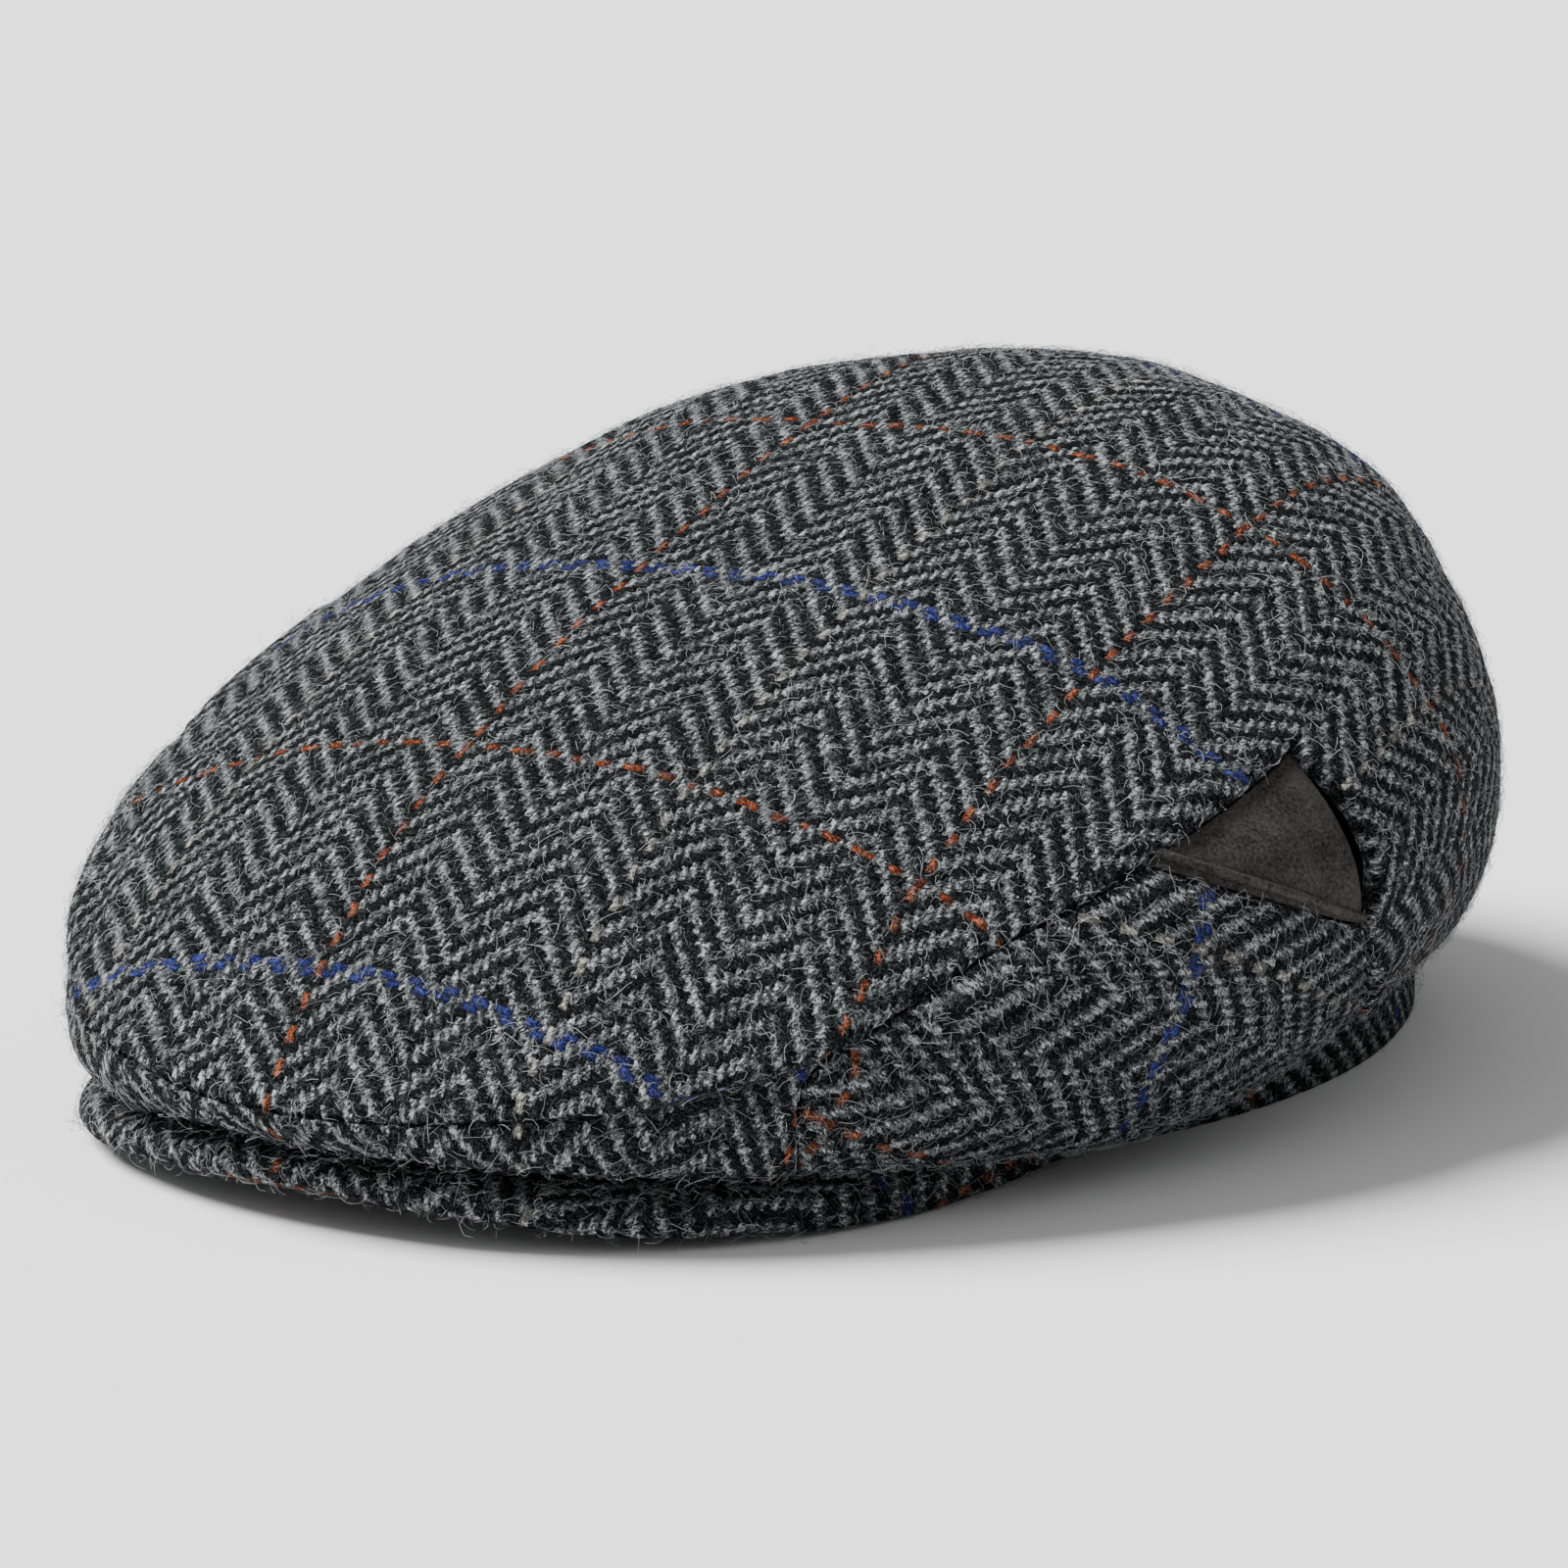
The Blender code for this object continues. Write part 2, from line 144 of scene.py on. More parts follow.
# plan is a share of the plain oval of the three reaches, widest and droop shares of the crown
# height, and fullness the exponent of the dome between hub and widest line
SECTIONS = [Section(*row) for row in (
    (0, 1.000, 0.168, 3.95, 0.000),
    (30, 0.978, 0.215, 3.60, 0.012),
    (60, 0.984, 0.299, 3.15, 0.058),
    (90, 1.000, 0.375, 2.70, 0.032),
    (120, 0.990, 0.415, 3.40, 0.005),
    (150, 0.985, 0.378, 4.45, 0.005),
    (180, 1.000, 0.363, 4.95, 0.005),
)]

# The dome hangs from this line and drops from it towards the sides. Shares of half the crown
# length, from the front to the back, and of the crown height
CEILINGS = ((-1.0, 0.265), (-0.6, 0.552), (-0.2, 0.750), (0.2, 0.937), (0.6, 1.042), (1.0, 1.180))

Fold = namedtuple("Fold", "angle spread level rise push")
# A bell of the given half widths in angle and level; push is a share of the fold depth, in if
# negative, and every fold has its like on the other side
FOLDS = [Fold(*row) for row in (
    (0, 38, 0.93, 0.10, -0.45),
    (18, 24, 0.93, 0.10, -0.40),
    (33, 14, 1.00, 0.35, -0.60),
    (24, 16, 1.30, 0.45, 0.35),
    (165, 28, 0.52, 0.24, -1.00),
    (147, 12, 0.66, 0.16, 0.60),
)]
# A gusset's dimple and the ridge behind it, with push as a share of the dimple's depth
DIMPLE = (Fold(81.0, 2.2, 0.88, 0.17, -1.0), Fold(83.3, 1.8, 0.88, 0.20, 0.4))

Mark = namedtuple("Mark", "angle level")
# Seam from the rim beside the peak up to the gusset's front tip, the gusset's corners, the foot of
# the seam behind it, and the rim below the gusset's tip and rear corner
FRONT_SEAM = (
    Mark(33.0, 2.000), Mark(33.4, 1.500), Mark(34.0, 1.000), Mark(39.0, 0.867),
    Mark(48.5, 0.775), Mark(56.0, 0.750), Mark(63.5, 0.720),
)
GUSSET_TIP = FRONT_SEAM[-1]
GUSSET_TOP = Mark(84.6, 0.677)
GUSSET_REAR = Mark(85.4, 1.075)
GUSSET_BULGE = (Mark(86.3, 0.790), Mark(86.7, 0.930))
REAR_SEAM_FOOT = Mark(97.0, 2.000)
RIM_BELOW_TIP = Mark(59.0, 2.000)
RIM_BELOW_REAR = Mark(85.0, 2.000)

SEAM_STEPS = 12
GUSSET_STEPS = 20
GUSSET_REAR_STEPS = 6
REAR_SEAM_STEPS = 20
FRONT_RIM_STEPS = 48
BACK_RIM_STEPS = 144
HUB_ROWS = 24
SKIRT_ROWS = 40
SIDE_PANEL_ROWS = 40
# Rows of the front skirt, as stretches to a share of its depth, close together about the crease
FRONT_STRETCHES = ((0.120, 8), (0.235, 26), (1.000, 30))
GUSSET_ROWS = 24
BAND_STEPS = 360
# The band's two ends stop this close to the middle of the back
BAND_JOINT = 179.97
PEAK_STEPS = 180
PEAK_ROWS = 12
# The peak's rounded lip as a share of its depth, its steps and how far it turns up and down, and
# the cover's swells as a share of the crown's
PEAK_NOSE = 0.06
PEAK_NOSE_STEPS = 13
PEAK_NOSE_TURN = 80.0
PEAK_SWELL = 0.8
PEAK_SWELLS = Change(0.70, 0.95)
# The part of the peak's depth from here to its lip shows, and so wears loose hairs
PEAK_SHOWN = 0.7

# Piping, as steps and sides, how far its ends stay off the gusset's corners in angle and level, its
# place and height as shares of its width, its depth in metres, and how its ends fill from thin
PIPING_STEPS = 90
PIPING_SIDES = 12
PIPING_FROM_TIP = (0.9, 0.0)
PIPING_FROM_REAR = (0.5, 0.008)
PIPING_IN = 0.75
PIPING_HEIGHT = 0.48
PIPING_DOWN = 0.0004
PIPING_FILLS = 60
PIPING_THIN = 0.02

# How strongly rows crowd towards one end and towards both
CROWDING = 1.7
CROWDING_BOTH = 0.11

# Loose hairs: points along each, the least height over the table, and the seeds of the draws that
# come after those for their shape
FIBRE_POINTS = 5
OVER_TABLE = 0.0002
HEADING_SEED = 20
SHADE_SEED = 30

# Edges that bend by more than this are drawn sharp
SHARPEST_SMOOTH = 50.0

# Crease along the front where the crown folds over itself, on the wearer's left, up to its seam
CREASE = (
    Mark(0.0, 0.920), Mark(7.5, 0.935), Mark(12.0, 0.938), Mark(17.5, 0.960), Mark(23.0, 0.980),
    Mark(27.0, 0.958), Mark(32.0, 0.930), Mark(36.0, 0.900), Mark(39.0, 0.880),
)

# Length of cloth hidden in that fold where it is deepest
FOLD_HIDES = 0.0160

Swell = namedtuple("Swell", "length share")
SWELLS = (Swell(length=0.026, share=0.9), Swell(length=0.010, share=0.5))
# Radius of a gusset's cut edges
GUSSET_ROUND = 0.0003

# Corners of the band's section: inward as a share of its wall, height as one of its height
BAND_PROFILE = (
    (0.30, 0.000), (0.00, 0.060), (0.00, 0.350), (0.00, 0.650),
    (0.00, 0.940), (0.30, 1.000), (1.00, 1.000), (1.00, 0.000),
)

Shell = namedtuple("Shell", "points faces places fronts")
# places is where each vertex lies on its piece of cloth, and fronts are the faces that show

Face = namedtuple("Face", "angle level points edge seam")
# The outer face that a relief is worked out for, edge and seam being how far its vertices lie from
# its whole border and from the part of it that is sewn to another panel

# Herringbone of eight ends to a column, counted from the orange end over the wearer's left brow
ENDS_PER_COLUMN = 8
ENDS_PER_CHECK = 64
PICKS_PER_CHECK = 68
ORANGE_END = -0.0155
END_PITCH = 0.001305
BRIGHT_END = ORANGE_END + ENDS_PER_CHECK / 2 * END_PITCH
BLUE_PICK = -0.0245
PEAK_PLACE = (-0.0139, 0.0610)
PEAK_GIVE = 1.06
BAND_PLACE = (0.0400, 0.0120)

# The cloth lies flat on the crown down to this level, and from there it follows the meridians
FLAT_LEVEL = 0.84
# Ahead of SKEW_START the warp swings to the wearer's left, by SKEW over a run of SKEW_RUN
SKEW = 0.0150
SKEW_START = -0.0400
SKEW_RUN = 0.1170
SKEW_POWER = 1.8
# The side panel's cloth is cut at a slant to the crown's, and its warp bends round the ear.
# PANEL_WEFT and PANEL_WARP are where its blue pick and its bright end lie on the crown's cloth.
PANEL_CUT = -56.3
PANEL_LEAN = 0.105
PANEL_BEND = 3.00
PANEL_GIVE = 1.15
PANEL_WEFT = 0.0620
PANEL_WARP = 0.1028
# In front of this line across its warp, the panel's weft swings forward by a share of the distance
PANEL_SWING_START = 0.0340
PANEL_SWING = 0.75


def around(angle, column):
    """A column of SECTIONS at any angle, as an even cosine series through its rows."""
    order = np.arange(len(SECTIONS))
    rows = np.radians([section.angle for section in SECTIONS])
    values = [getattr(section, column) for section in SECTIONS]
    series = np.linalg.solve(np.cos(np.outer(rows, order)), values)
    return np.cos(np.radians(angle)[..., None] * order) @ series


def ease(value, start, end):
    """0 before start and 1 after end, with a smooth step between."""
    share = np.clip((value - start) / (end - start), 0.0, 1.0)
    return share * share * (3.0 - 2.0 * share)


def changed(angle, change):
    """How far a change round the peak has come at an angle."""
    return ease(np.abs(angle) / PEAK_SPREAD, *change)


def bell(offset):
    """1 in the middle, falling smoothly to 0 at an offset of 1 to either side."""
    return 0.5 + 0.5 * np.cos(np.pi * np.clip(np.abs(offset), 0.0, 1.0))


def unit(vectors):
    return vectors / np.linalg.norm(vectors, axis=-1, keepdims=True)


def run_along(points):
    """How far every point lies along its line of points."""
    steps = np.linalg.norm(np.diff(points, axis=-2), axis=-1)
    return np.insert(np.cumsum(steps, axis=-1), 0, 0.0, axis=-1)


def sine_cosine(angle):
    return np.sin(np.radians(angle)), np.cos(np.radians(angle))


def polar(angle, reach, height):
    """Points at an angle round the hub, a reach from it and a height over the table."""
    sine, cosine = sine_cosine(angle)
    return np.stack([reach * sine, HUB_Y - reach * cosine, height], axis=-1)


def turned(angle):
    """The angle between -180 and 180."""
    return (angle + 180.0) % 360.0 - 180.0


def crown_reach(angle):
    sine, cosine = sine_cosine(angle)
    lengthwise = np.where(cosine > 0, CROWN_FRONT, CROWN_BACK)
    return around(angle, "plan") / np.hypot(sine / CROWN_SIDE, cosine / lengthwise)


def band_reach(angle, inset=0.0):
    """From the hub to the band's oval, whose middle lies behind the hub, drawn in by an inset."""
    sine, cosine = sine_cosine(angle)
    half_length = BAND_LENGTH / 2 - inset
    half_width = BAND_WIDTH / 2 - inset
    square = (sine / half_width) ** 2 + (cosine / half_length) ** 2
    slope = cosine * BAND_SHIFT / half_length**2
    rest = 1.0 - (BAND_SHIFT / half_length) ** 2
    return (np.sqrt(slope**2 + square * rest) - slope) / square


def peak_depth(angle):
    """How far the peak stands out at an angle: a full crescent with rounded corners."""
    side = np.clip(np.abs(angle) / (PEAK_SPREAD + PEAK_STUB), 0.0, 1.0)
    return PEAK_REACH * (1.0 - side**PEAK_SHOULDER) ** PEAK_CORNER


def peak_underside(angle, across):
    """Height of the peak's lower face, across from 0 at the band to 1 at the lip."""
    fall = PEAK_FALL * changed(angle, PEAK_FALLS)
    return PEAK_LIFT - fall - LIP_DROP * changed(angle, LIP_DROPS) * across**LIP_CURL


def rim_reach(angle):
    """The crown's turned rim lies on the peak in front and against the band elsewhere."""
    inset = RIM_INSET * (1.0 - changed(angle, RIM_TURNS_IN))
    return band_reach(angle) + peak_depth(angle) - inset + GAP / 2


def rim_height(angle):
    across = 1.0 - RIM_INSET / np.maximum(peak_depth(angle), RIM_INSET)
    on_board = peak_underside(angle, across) + PEAK_BOARD + GAP
    over_corner = peak_underside(angle, 0.0) + PEAK_BOARD + GAP
    on_band = BAND_HEIGHT - CLOTH_WALL - RIM_DROP * (1.0 - changed(angle, RIM_RISES_BACK))
    height = on_board + (over_corner - on_board) * changed(angle, RIM_LEAVES_LIP)
    return height + (on_band - height) * changed(angle, RIM_CLIMBS_BAND)


def dome_height(x, y):
    """Height of the crown's dome over a place inside its widest line."""
    angle = np.degrees(np.arctan2(x, HUB_Y - y))
    out = np.hypot(x, HUB_Y - y) / crown_reach(angle)
    widest = around(angle, "widest") * CROWN_HEIGHT
    line = np.polyfit(*zip(*CEILINGS), len(CEILINGS) - 1)
    drop = CEILING_SIDE_DROP * (x / CROWN_SIDE) ** 2
    ceiling = (np.polyval(line, (y - HUB_Y) / CROWN_HALF) - drop) * CROWN_HEIGHT
    rise = np.sqrt(np.clip(1.0 - out ** around(angle, "fullness"), 0.0, 1.0))
    return widest + (ceiling - widest) * rise


def crown_surface(angle, level):
    """The crown's outer face before its folds."""
    angle = turned(angle)
    reach = crown_reach(angle)
    widest = around(angle, "widest") * CROWN_HEIGHT
    roll = np.clip(level - 1.0, 0.0, 1.0) * np.pi / 2
    upper = polar(angle, reach * np.sin(np.clip(level, 0.0, 1.0) * np.pi / 2), widest)
    upper[..., 2] = dome_height(upper[..., 0], upper[..., 1])
    rim = rim_reach(angle)
    droop = around(angle, "droop") * CROWN_HEIGHT * np.sin(2 * roll)
    height = widest - (widest - rim_height(angle)) * np.sin(roll) - droop
    lower = polar(angle, rim + (reach - rim) * np.cos(roll), height)
    return np.where((level > 1.0)[..., None], lower, upper)


# Steps for the surface's slopes, and the level next to the hub where it still has them
ANGLE_STEP = 0.5
LEVEL_STEP = 0.004
OFF_HUB = 0.02


def crown_normal(angle, level):
    inner = np.clip(level, OFF_HUB, 2.0 - LEVEL_STEP)
    along = crown_surface(angle + ANGLE_STEP, inner) - crown_surface(angle - ANGLE_STEP, inner)
    down = crown_surface(angle, inner + LEVEL_STEP) - crown_surface(angle, inner - LEVEL_STEP)
    return unit(np.cross(down, along))


def folded(angle, level, folds):
    """How far folds push the cloth out at an angle and a level."""
    push = np.zeros_like(angle)
    for fold in folds:
        for side in {fold.angle, -fold.angle}:
            across = turned(angle - side) / fold.spread
            push += fold.push * bell(across) * bell((level - fold.level) / fold.rise)
    return push


# Steps that lengths over the crown are measured in, and how close they come to ends and middle
ARC_STEPS = 24
PROFILE_STEPS = 600
INSIDE = 0.9995
OFF_MIDDLE = 1e-9


def cloth_place(angle, level):
    """Where a place on the crown lies on the flat cloth: across its warp, and along it to the back.

    Above FLAT_LEVEL both are measured over the dome, and below it they run on down the meridians.
    """
    angle = turned(angle)
    upper = np.minimum(level, FLAT_LEVEL)
    point = crown_surface(angle, upper)
    steps = np.linspace(0.0, 1.0, ARC_STEPS + 1)
    x = point[..., 0, None] * steps
    y = np.broadcast_to(point[..., 1, None], x.shape)
    chord = np.stack([x, y, dome_height(x, y)], axis=-1)
    across = run_along(chord)[..., -1] * np.sign(point[..., 0])
    middle = HUB_Y + np.linspace(-CROWN_FRONT, CROWN_BACK, PROFILE_STEPS + 1) * INSIDE
    run = run_along(np.stack([middle, dome_height(0 * middle + OFF_MIDDLE, middle)], axis=-1))
    along = np.interp(point[..., 1], middle, run) - np.interp(HUB_Y, middle, run)
    lower = upper[..., None] + (level - upper)[..., None] * steps
    meridian = crown_surface(np.broadcast_to(angle[..., None], lower.shape), lower)
    fall = run_along(meridian)[..., -1]
    edge = np.full_like(level, FLAT_LEVEL)
    normal = crown_normal(angle, edge)
    down = unit(crown_surface(angle, edge + LEVEL_STEP) - crown_surface(angle, edge - LEVEL_STEP))
    side_cut = np.stack([normal[..., 2], 0 * angle, -normal[..., 0]], axis=-1)
    end_cut = np.array([1.0, 0.0, 0.0]) - normal * normal[..., :1]
    weft = unit(side_cut + end_cut)
    warp = np.cross(normal, weft)
    across = across + fall * (down * weft).sum(-1)
    along = along + fall * (down * warp).sum(-1)
    skew = SKEW * (np.clip(SKEW_START - along, 0.0, None) / SKEW_RUN) ** SKEW_POWER
    return np.stack([across - skew, along], axis=-1)


def crease_level(angle):
    return np.interp(np.abs(angle), *zip(*CREASE))


def crown_place(angle, level):
    """The crown's place on its cloth, which goes on below the crease past what the fold hides."""
    round_front = np.abs(angle)
    deep = ease(round_front, *HIDING_STARTS) * (1.0 - ease(round_front, *HIDING_ENDS))
    below = ease(level - crease_level(angle), *HIDING_STEP)
    place = cloth_place(angle, level)
    place[..., 1] -= FOLD_HIDES * deep * below
    return place


def panel_place(angle, level):
    """Where a place on a side panel lies on its own piece of cloth."""
    place = cloth_place(angle, level)
    turn = np.radians(PANEL_CUT)
    across = place[..., 0] * np.cos(turn) + place[..., 1] * np.sin(turn) - PANEL_WARP
    along = place[..., 1] * np.cos(turn) - place[..., 0] * np.sin(turn) - PANEL_WEFT
    across = across + PANEL_LEAN * along + PANEL_BEND * along**2
    along = along + PANEL_SWING * np.clip(across - PANEL_SWING_START, 0.0, None)
    return np.stack([across + BRIGHT_END, along / PANEL_GIVE + BLUE_PICK], axis=-1)


def between(first, last, count):
    """Angles and levels on a straight line between two marks."""
    return np.linspace(first, last, count + 1)


def through(marks, count):
    """Angles and levels on a smooth curve through marks, count steps from each to the next."""
    marks = np.array(marks)
    ends = np.vstack([2 * marks[0] - marks[1], marks, 2 * marks[-1] - marks[-2]])
    rows = [marks[:1]]
    share = np.linspace(0, 1, count + 1)[1:, None]
    for before, start, end, after in zip(ends, ends[1:], ends[2:], ends[3:]):
        bend = 2 * before - 5 * start + 4 * end - after
        twist = 3 * start - before - 3 * end + after
        rows.append(start + share * (end - before + share * (bend + share * twist)) / 2)
    return np.vstack(rows)


def mirrored(curve, turns=0.0):
    """The same curve on the wearer's right, run the other way, some degrees further round."""
    return curve[::-1] * (-1.0, 1.0) + (turns, 0.0)


def joined(*curves):
    """Curves end to end, each shared point once."""
    return np.vstack([curves[0]] + [curve[1:] for curve in curves[1:]])


def stretched(first, last, curve):
    """Points from one mark to another, spaced as evenly as the columns of a curve."""
    return np.linspace(first, last, len(curve))


def crowded(rows):
    """Shares from 0 to 1 that crowd towards 1."""
    return 1.0 - (1.0 - np.linspace(0.0, 1.0, rows + 1)) ** CROWDING


def in_stretches(stretches):
    """Shares from 0 to 1, evenly spaced within each stretch, which is its end and its rows."""
    shares = [0.0]
    for end, rows in stretches:
        shares.extend(np.linspace(shares[-1], end, rows + 1)[1:])
    return shares


def crowded_both(rows):
    """Shares from 0 to 1 that crowd towards both ends."""
    share = np.linspace(0.0, 1.0, rows + 1)
    return share - np.sin(2 * np.pi * share) * CROWDING_BOTH


def loft(upper, lower, shares):
    """A grid of angles and levels between two curves with as many points."""
    return upper + np.asarray(shares)[:, None, None] * (lower - upper)


FRONT_EDGE = through(FRONT_SEAM, SEAM_STEPS)
GUSSET_UPPER_EDGE = between(GUSSET_TIP, GUSSET_TOP, GUSSET_STEPS)
GUSSET_LOWER_EDGE = between(GUSSET_TIP, GUSSET_REAR, GUSSET_STEPS)
GUSSET_REAR_EDGE = through((GUSSET_TOP, *GUSSET_BULGE, GUSSET_REAR), GUSSET_REAR_STEPS)
REAR_EDGE = between(GUSSET_REAR, REAR_SEAM_FOOT, REAR_SEAM_STEPS)


def crown_top_grids():
    """From the front rim over the hub to the back rim, notched for side panels and gussets."""
    right_front = mirrored(FRONT_EDGE)
    front_rim = between(right_front[-1], FRONT_EDGE[0], FRONT_RIM_STEPS)
    front_edge = joined(right_front, front_rim, FRONT_EDGE)
    front_ring = stretched(front_edge[0], front_edge[-1], front_edge)
    left_back = joined(GUSSET_REAR_EDGE, REAR_EDGE)
    right_back = mirrored(left_back, 360.0)
    back_edge = joined(left_back, between(left_back[-1], right_back[0], BACK_RIM_STEPS), right_back)
    back_ring = stretched(back_edge[0], back_edge[-1], back_edge)
    ring = joined(front_ring, GUSSET_UPPER_EDGE, back_ring, mirrored(GUSSET_UPPER_EDGE, 360.0))
    return (
        loft(ring * (1.0, 0.0), ring, crowded(HUB_ROWS)),
        loft(front_ring, front_edge, in_stretches(FRONT_STRETCHES)),
        loft(back_ring, back_edge, crowded(SKIRT_ROWS)),
    )


def side_panel_grids():
    """The wedge between the front seam, the gusset's lower edge, the rear seam and the rim."""
    edges = (FRONT_EDGE, GUSSET_LOWER_EDGE, REAR_EDGE)
    feet = (FRONT_SEAM[0], RIM_BELOW_TIP, RIM_BELOW_REAR, REAR_SEAM_FOOT)
    rims = [stretched(start, end, edge) for start, end, edge in zip(feet, feet[1:], edges)]
    return (loft(joined(*edges), joined(*rims), crowded_both(SIDE_PANEL_ROWS)),)


def gusset_grids():
    return (loft(GUSSET_UPPER_EDGE, GUSSET_LOWER_EDGE, crowded_both(GUSSET_ROWS)),)


def nearest(points, line):
    """How far each point lies from the nearest point of a line."""
    tree = KDTree(len(line))
    for index, point in enumerate(line):
        tree.insert(point, index)
    tree.balance()
    return np.array([tree.find(point)[2] for point in points])


def rounded(distance, radius):
    """How far the corner of a folded edge drops at a distance from the edge."""
    near = radius - np.minimum(distance, radius)
    return radius - np.sqrt(radius**2 - near**2)


def waves(points):
    """Slow swells of worn cloth, about -1 to 1."""
    return np.array([
        sum(swell.share * noise.noise(Vector(point) / swell.length) for swell in SWELLS)
        for point in points
    ])


# The crown's rim tucks in most at this angle, and less by a share further off than a spread
DEEPEST_TUCK = 22.0
TUCK_SPREAD = 20.0
TUCK_SHARE = 0.35


def worn(face, shape):
    """What worn wool does on every panel: slow swells, a rim tucked in, and rounded edges."""
    angle = np.abs(face.angle)
    swell = shape.swell * waves(face.points) * ease(face.edge, *SWELL_STARTS)
    under = ease(face.level, *TUCK_STARTS) * (1.0 - ease(angle, *TUCK_ENDS))
    most = 1.0 - TUCK_SHARE + TUCK_SHARE * bell((angle - DEEPEST_TUCK) / TUCK_SPREAD)
    return swell - shape.rim_tuck * under * most - rounded(face.edge, shape.edge_round)


# The crown's sewn edge stands proudest at a distance from its seam and over a spread, in metres.
# It and the panel's sinking are less along the front seam than at the gusset, by these shares, and
# a gusset's middle stands over its edge by a share of that sinking.
PROUDEST = 0.0025
PROUD_SPREAD = 0.0045
PROUD_AT_SEAM = 0.3
SINK_AT_SEAM = 0.4
PUFF = 0.8

# The crease as shares of its depth, and as its widths off its line: the lip above it, and below it
# the shelf, with a groove along the lip. In the middle of the front it is shallow.
CREASE_POINTS = 240
LIP = 1.1
LIP_SPREAD = 2.4
SHELF = 0.8
SHELF_RISES = Change(0.4, 4.0)
GROOVE = 0.7
GROOVE_WIDTH = 0.45
MIDDLE_DEPTH = 0.3


def crown_relief(face, shape):
    """Folded edges that stand proud of the gusset and side panel, the front crease and its roll."""
    angle = np.abs(face.angle)
    share = PROUD_AT_SEAM + (1.0 - PROUD_AT_SEAM) * ease(angle, *ALONG_GUSSET)
    proud = shape.edge_lift * share * bell((face.seam - PROUDEST) / PROUD_SPREAD)
    track = np.linspace(-CREASE[-1].angle, CREASE[-1].angle, CREASE_POINTS)
    off = nearest(face.points, crown_surface(track, crease_level(track))) / shape.crease_width
    below = ease(face.level - crease_level(angle), *CREASE_STEP)
    lip = LIP * (1.0 - below) * bell((off - 1.0) / LIP_SPREAD)
    groove = GROOVE * np.exp(-((off / GROOVE_WIDTH) ** 2))
    shelf = below * (SHELF - SHELF * ease(off, *SHELF_RISES) + groove)
    deep = MIDDLE_DEPTH + (1.0 - MIDDLE_DEPTH) * ease(angle, *CREASE_DEEPENS)
    crease = shape.crease_depth * deep * (lip - shelf) * (1.0 - ease(angle, *CREASE_ENDS))
    return proud + crease + worn(face, shape)


def side_panel_relief(face, shape):
    """The panel is sewn in under the crown's folded edge, so it sinks towards the seam."""
    share = SINK_AT_SEAM + (1.0 - SINK_AT_SEAM) * ease(np.abs(face.angle), *ALONG_GUSSET)
    return worn(face, shape) - shape.seam_sink * share * (1.0 - ease(face.seam, *SINK_ENDS))


def gusset_relief(face, shape):
    """Soft suede, puffed in the middle, with a dimple where it folds near its rear corner."""
    puff = PUFF * shape.seam_sink * (ease(face.edge, *PUFF_STARTS) - 1.0)
    dimple = shape.dimple * folded(face.angle, face.level, DIMPLE)
    return puff + dimple - rounded(face.edge, GUSSET_ROUND)


# Border vertices from this level on lie on the rim, and the others on a seam
AT_RIM = 1.999


class Sheet:
    """Quads over the crown surface, welded where grids share an angle and a level."""

    def __init__(self, grids):
        self.places = []
        self.faces = []
        self.index = {}
        for grid in grids:
            self.add(grid)

    def vertex(self, angle, level):
        key = (round(angle % 360.0, 4), round(level, 5)) if level > 0 else (0, 0)
        if key not in self.index:
            self.index[key] = len(self.places)
            self.places.append((turned(angle), level))
        return self.index[key]

    def add(self, grid):
        rows = [[self.vertex(angle, level) for angle, level in row] for row in grid]
        for upper, lower in zip(rows, rows[1:]):
            for column in range(len(upper) - 1):
                corners = (upper[column], lower[column], lower[column + 1], upper[column + 1])
                face = list(dict.fromkeys(corners))
                if len(face) > 2:
                    self.faces.append(face)

    def border(self):
        """Each border vertex with the one before it and the one after it."""
        edges = {edge for face in self.faces for edge in zip(face, face[1:] + face[:1])}
        after = {start: end for start, end in edges if (end, start) not in edges}
        before = {end: start for start, end in after.items()}
        return [(before[vertex], vertex, after[vertex]) for vertex in after]

    def wall(self, thickness, relief, shape, lay, recess=0.0):
        """A closed wall with its outer face in relief, drawn back from its border by half the gap.

        The inner face keeps its distance wherever the outer one sinks.
        """
        angle, level = np.array(self.places).T
        normal = crown_normal(angle, level)
        push = FOLD_DEPTH * folded(angle, level, FOLDS)
        face = crown_surface(angle, level) + normal * push[:, None]
        drawn = face.copy()
        border = self.border()
        for before, vertex, after in border:
            come = unit(np.cross(normal[vertex], face[vertex] - face[before]))
            leave = unit(np.cross(normal[vertex], face[after] - face[vertex]))
            drawn[vertex] += (come + leave) / (1.0 + come @ leave) * GAP / 2
        drawn -= normal * recess
        ring = [vertex for _, vertex, _ in border]
        seam = [vertex for vertex in ring if level[vertex] < AT_RIM]
        edge_off, seam_off = (nearest(drawn, drawn[part]) for part in (ring, seam))
        lift = relief(Face(angle, level, drawn, edge_off, seam_off), shape)
        outer = drawn + normal * lift[:, None]
        inner = drawn + normal * (np.minimum(lift, 0.0) - thickness)[:, None]
        count = len(drawn)
        faces = list(self.faces)
        faces += [[corner + count for corner in reversed(face)] for face in self.faces]
        faces += [[end, start, start + count, end + count] for _, start, end in border]
        place = lay(angle, level)
        behind = place.copy()
        first = place[self.faces[len(self.faces) // 2][:3]]
        turn = np.sign(np.cross(first[1] - first[0], first[2] - first[1]))
        for before, vertex, after in border:
            run = unit(place[after] - place[before])
            behind[vertex] += turn * thickness * np.array([run[1], -run[0]])
        places = np.vstack([place, behind])
        return Shell(np.vstack([outer, inner]), faces, places, range(len(self.faces)))


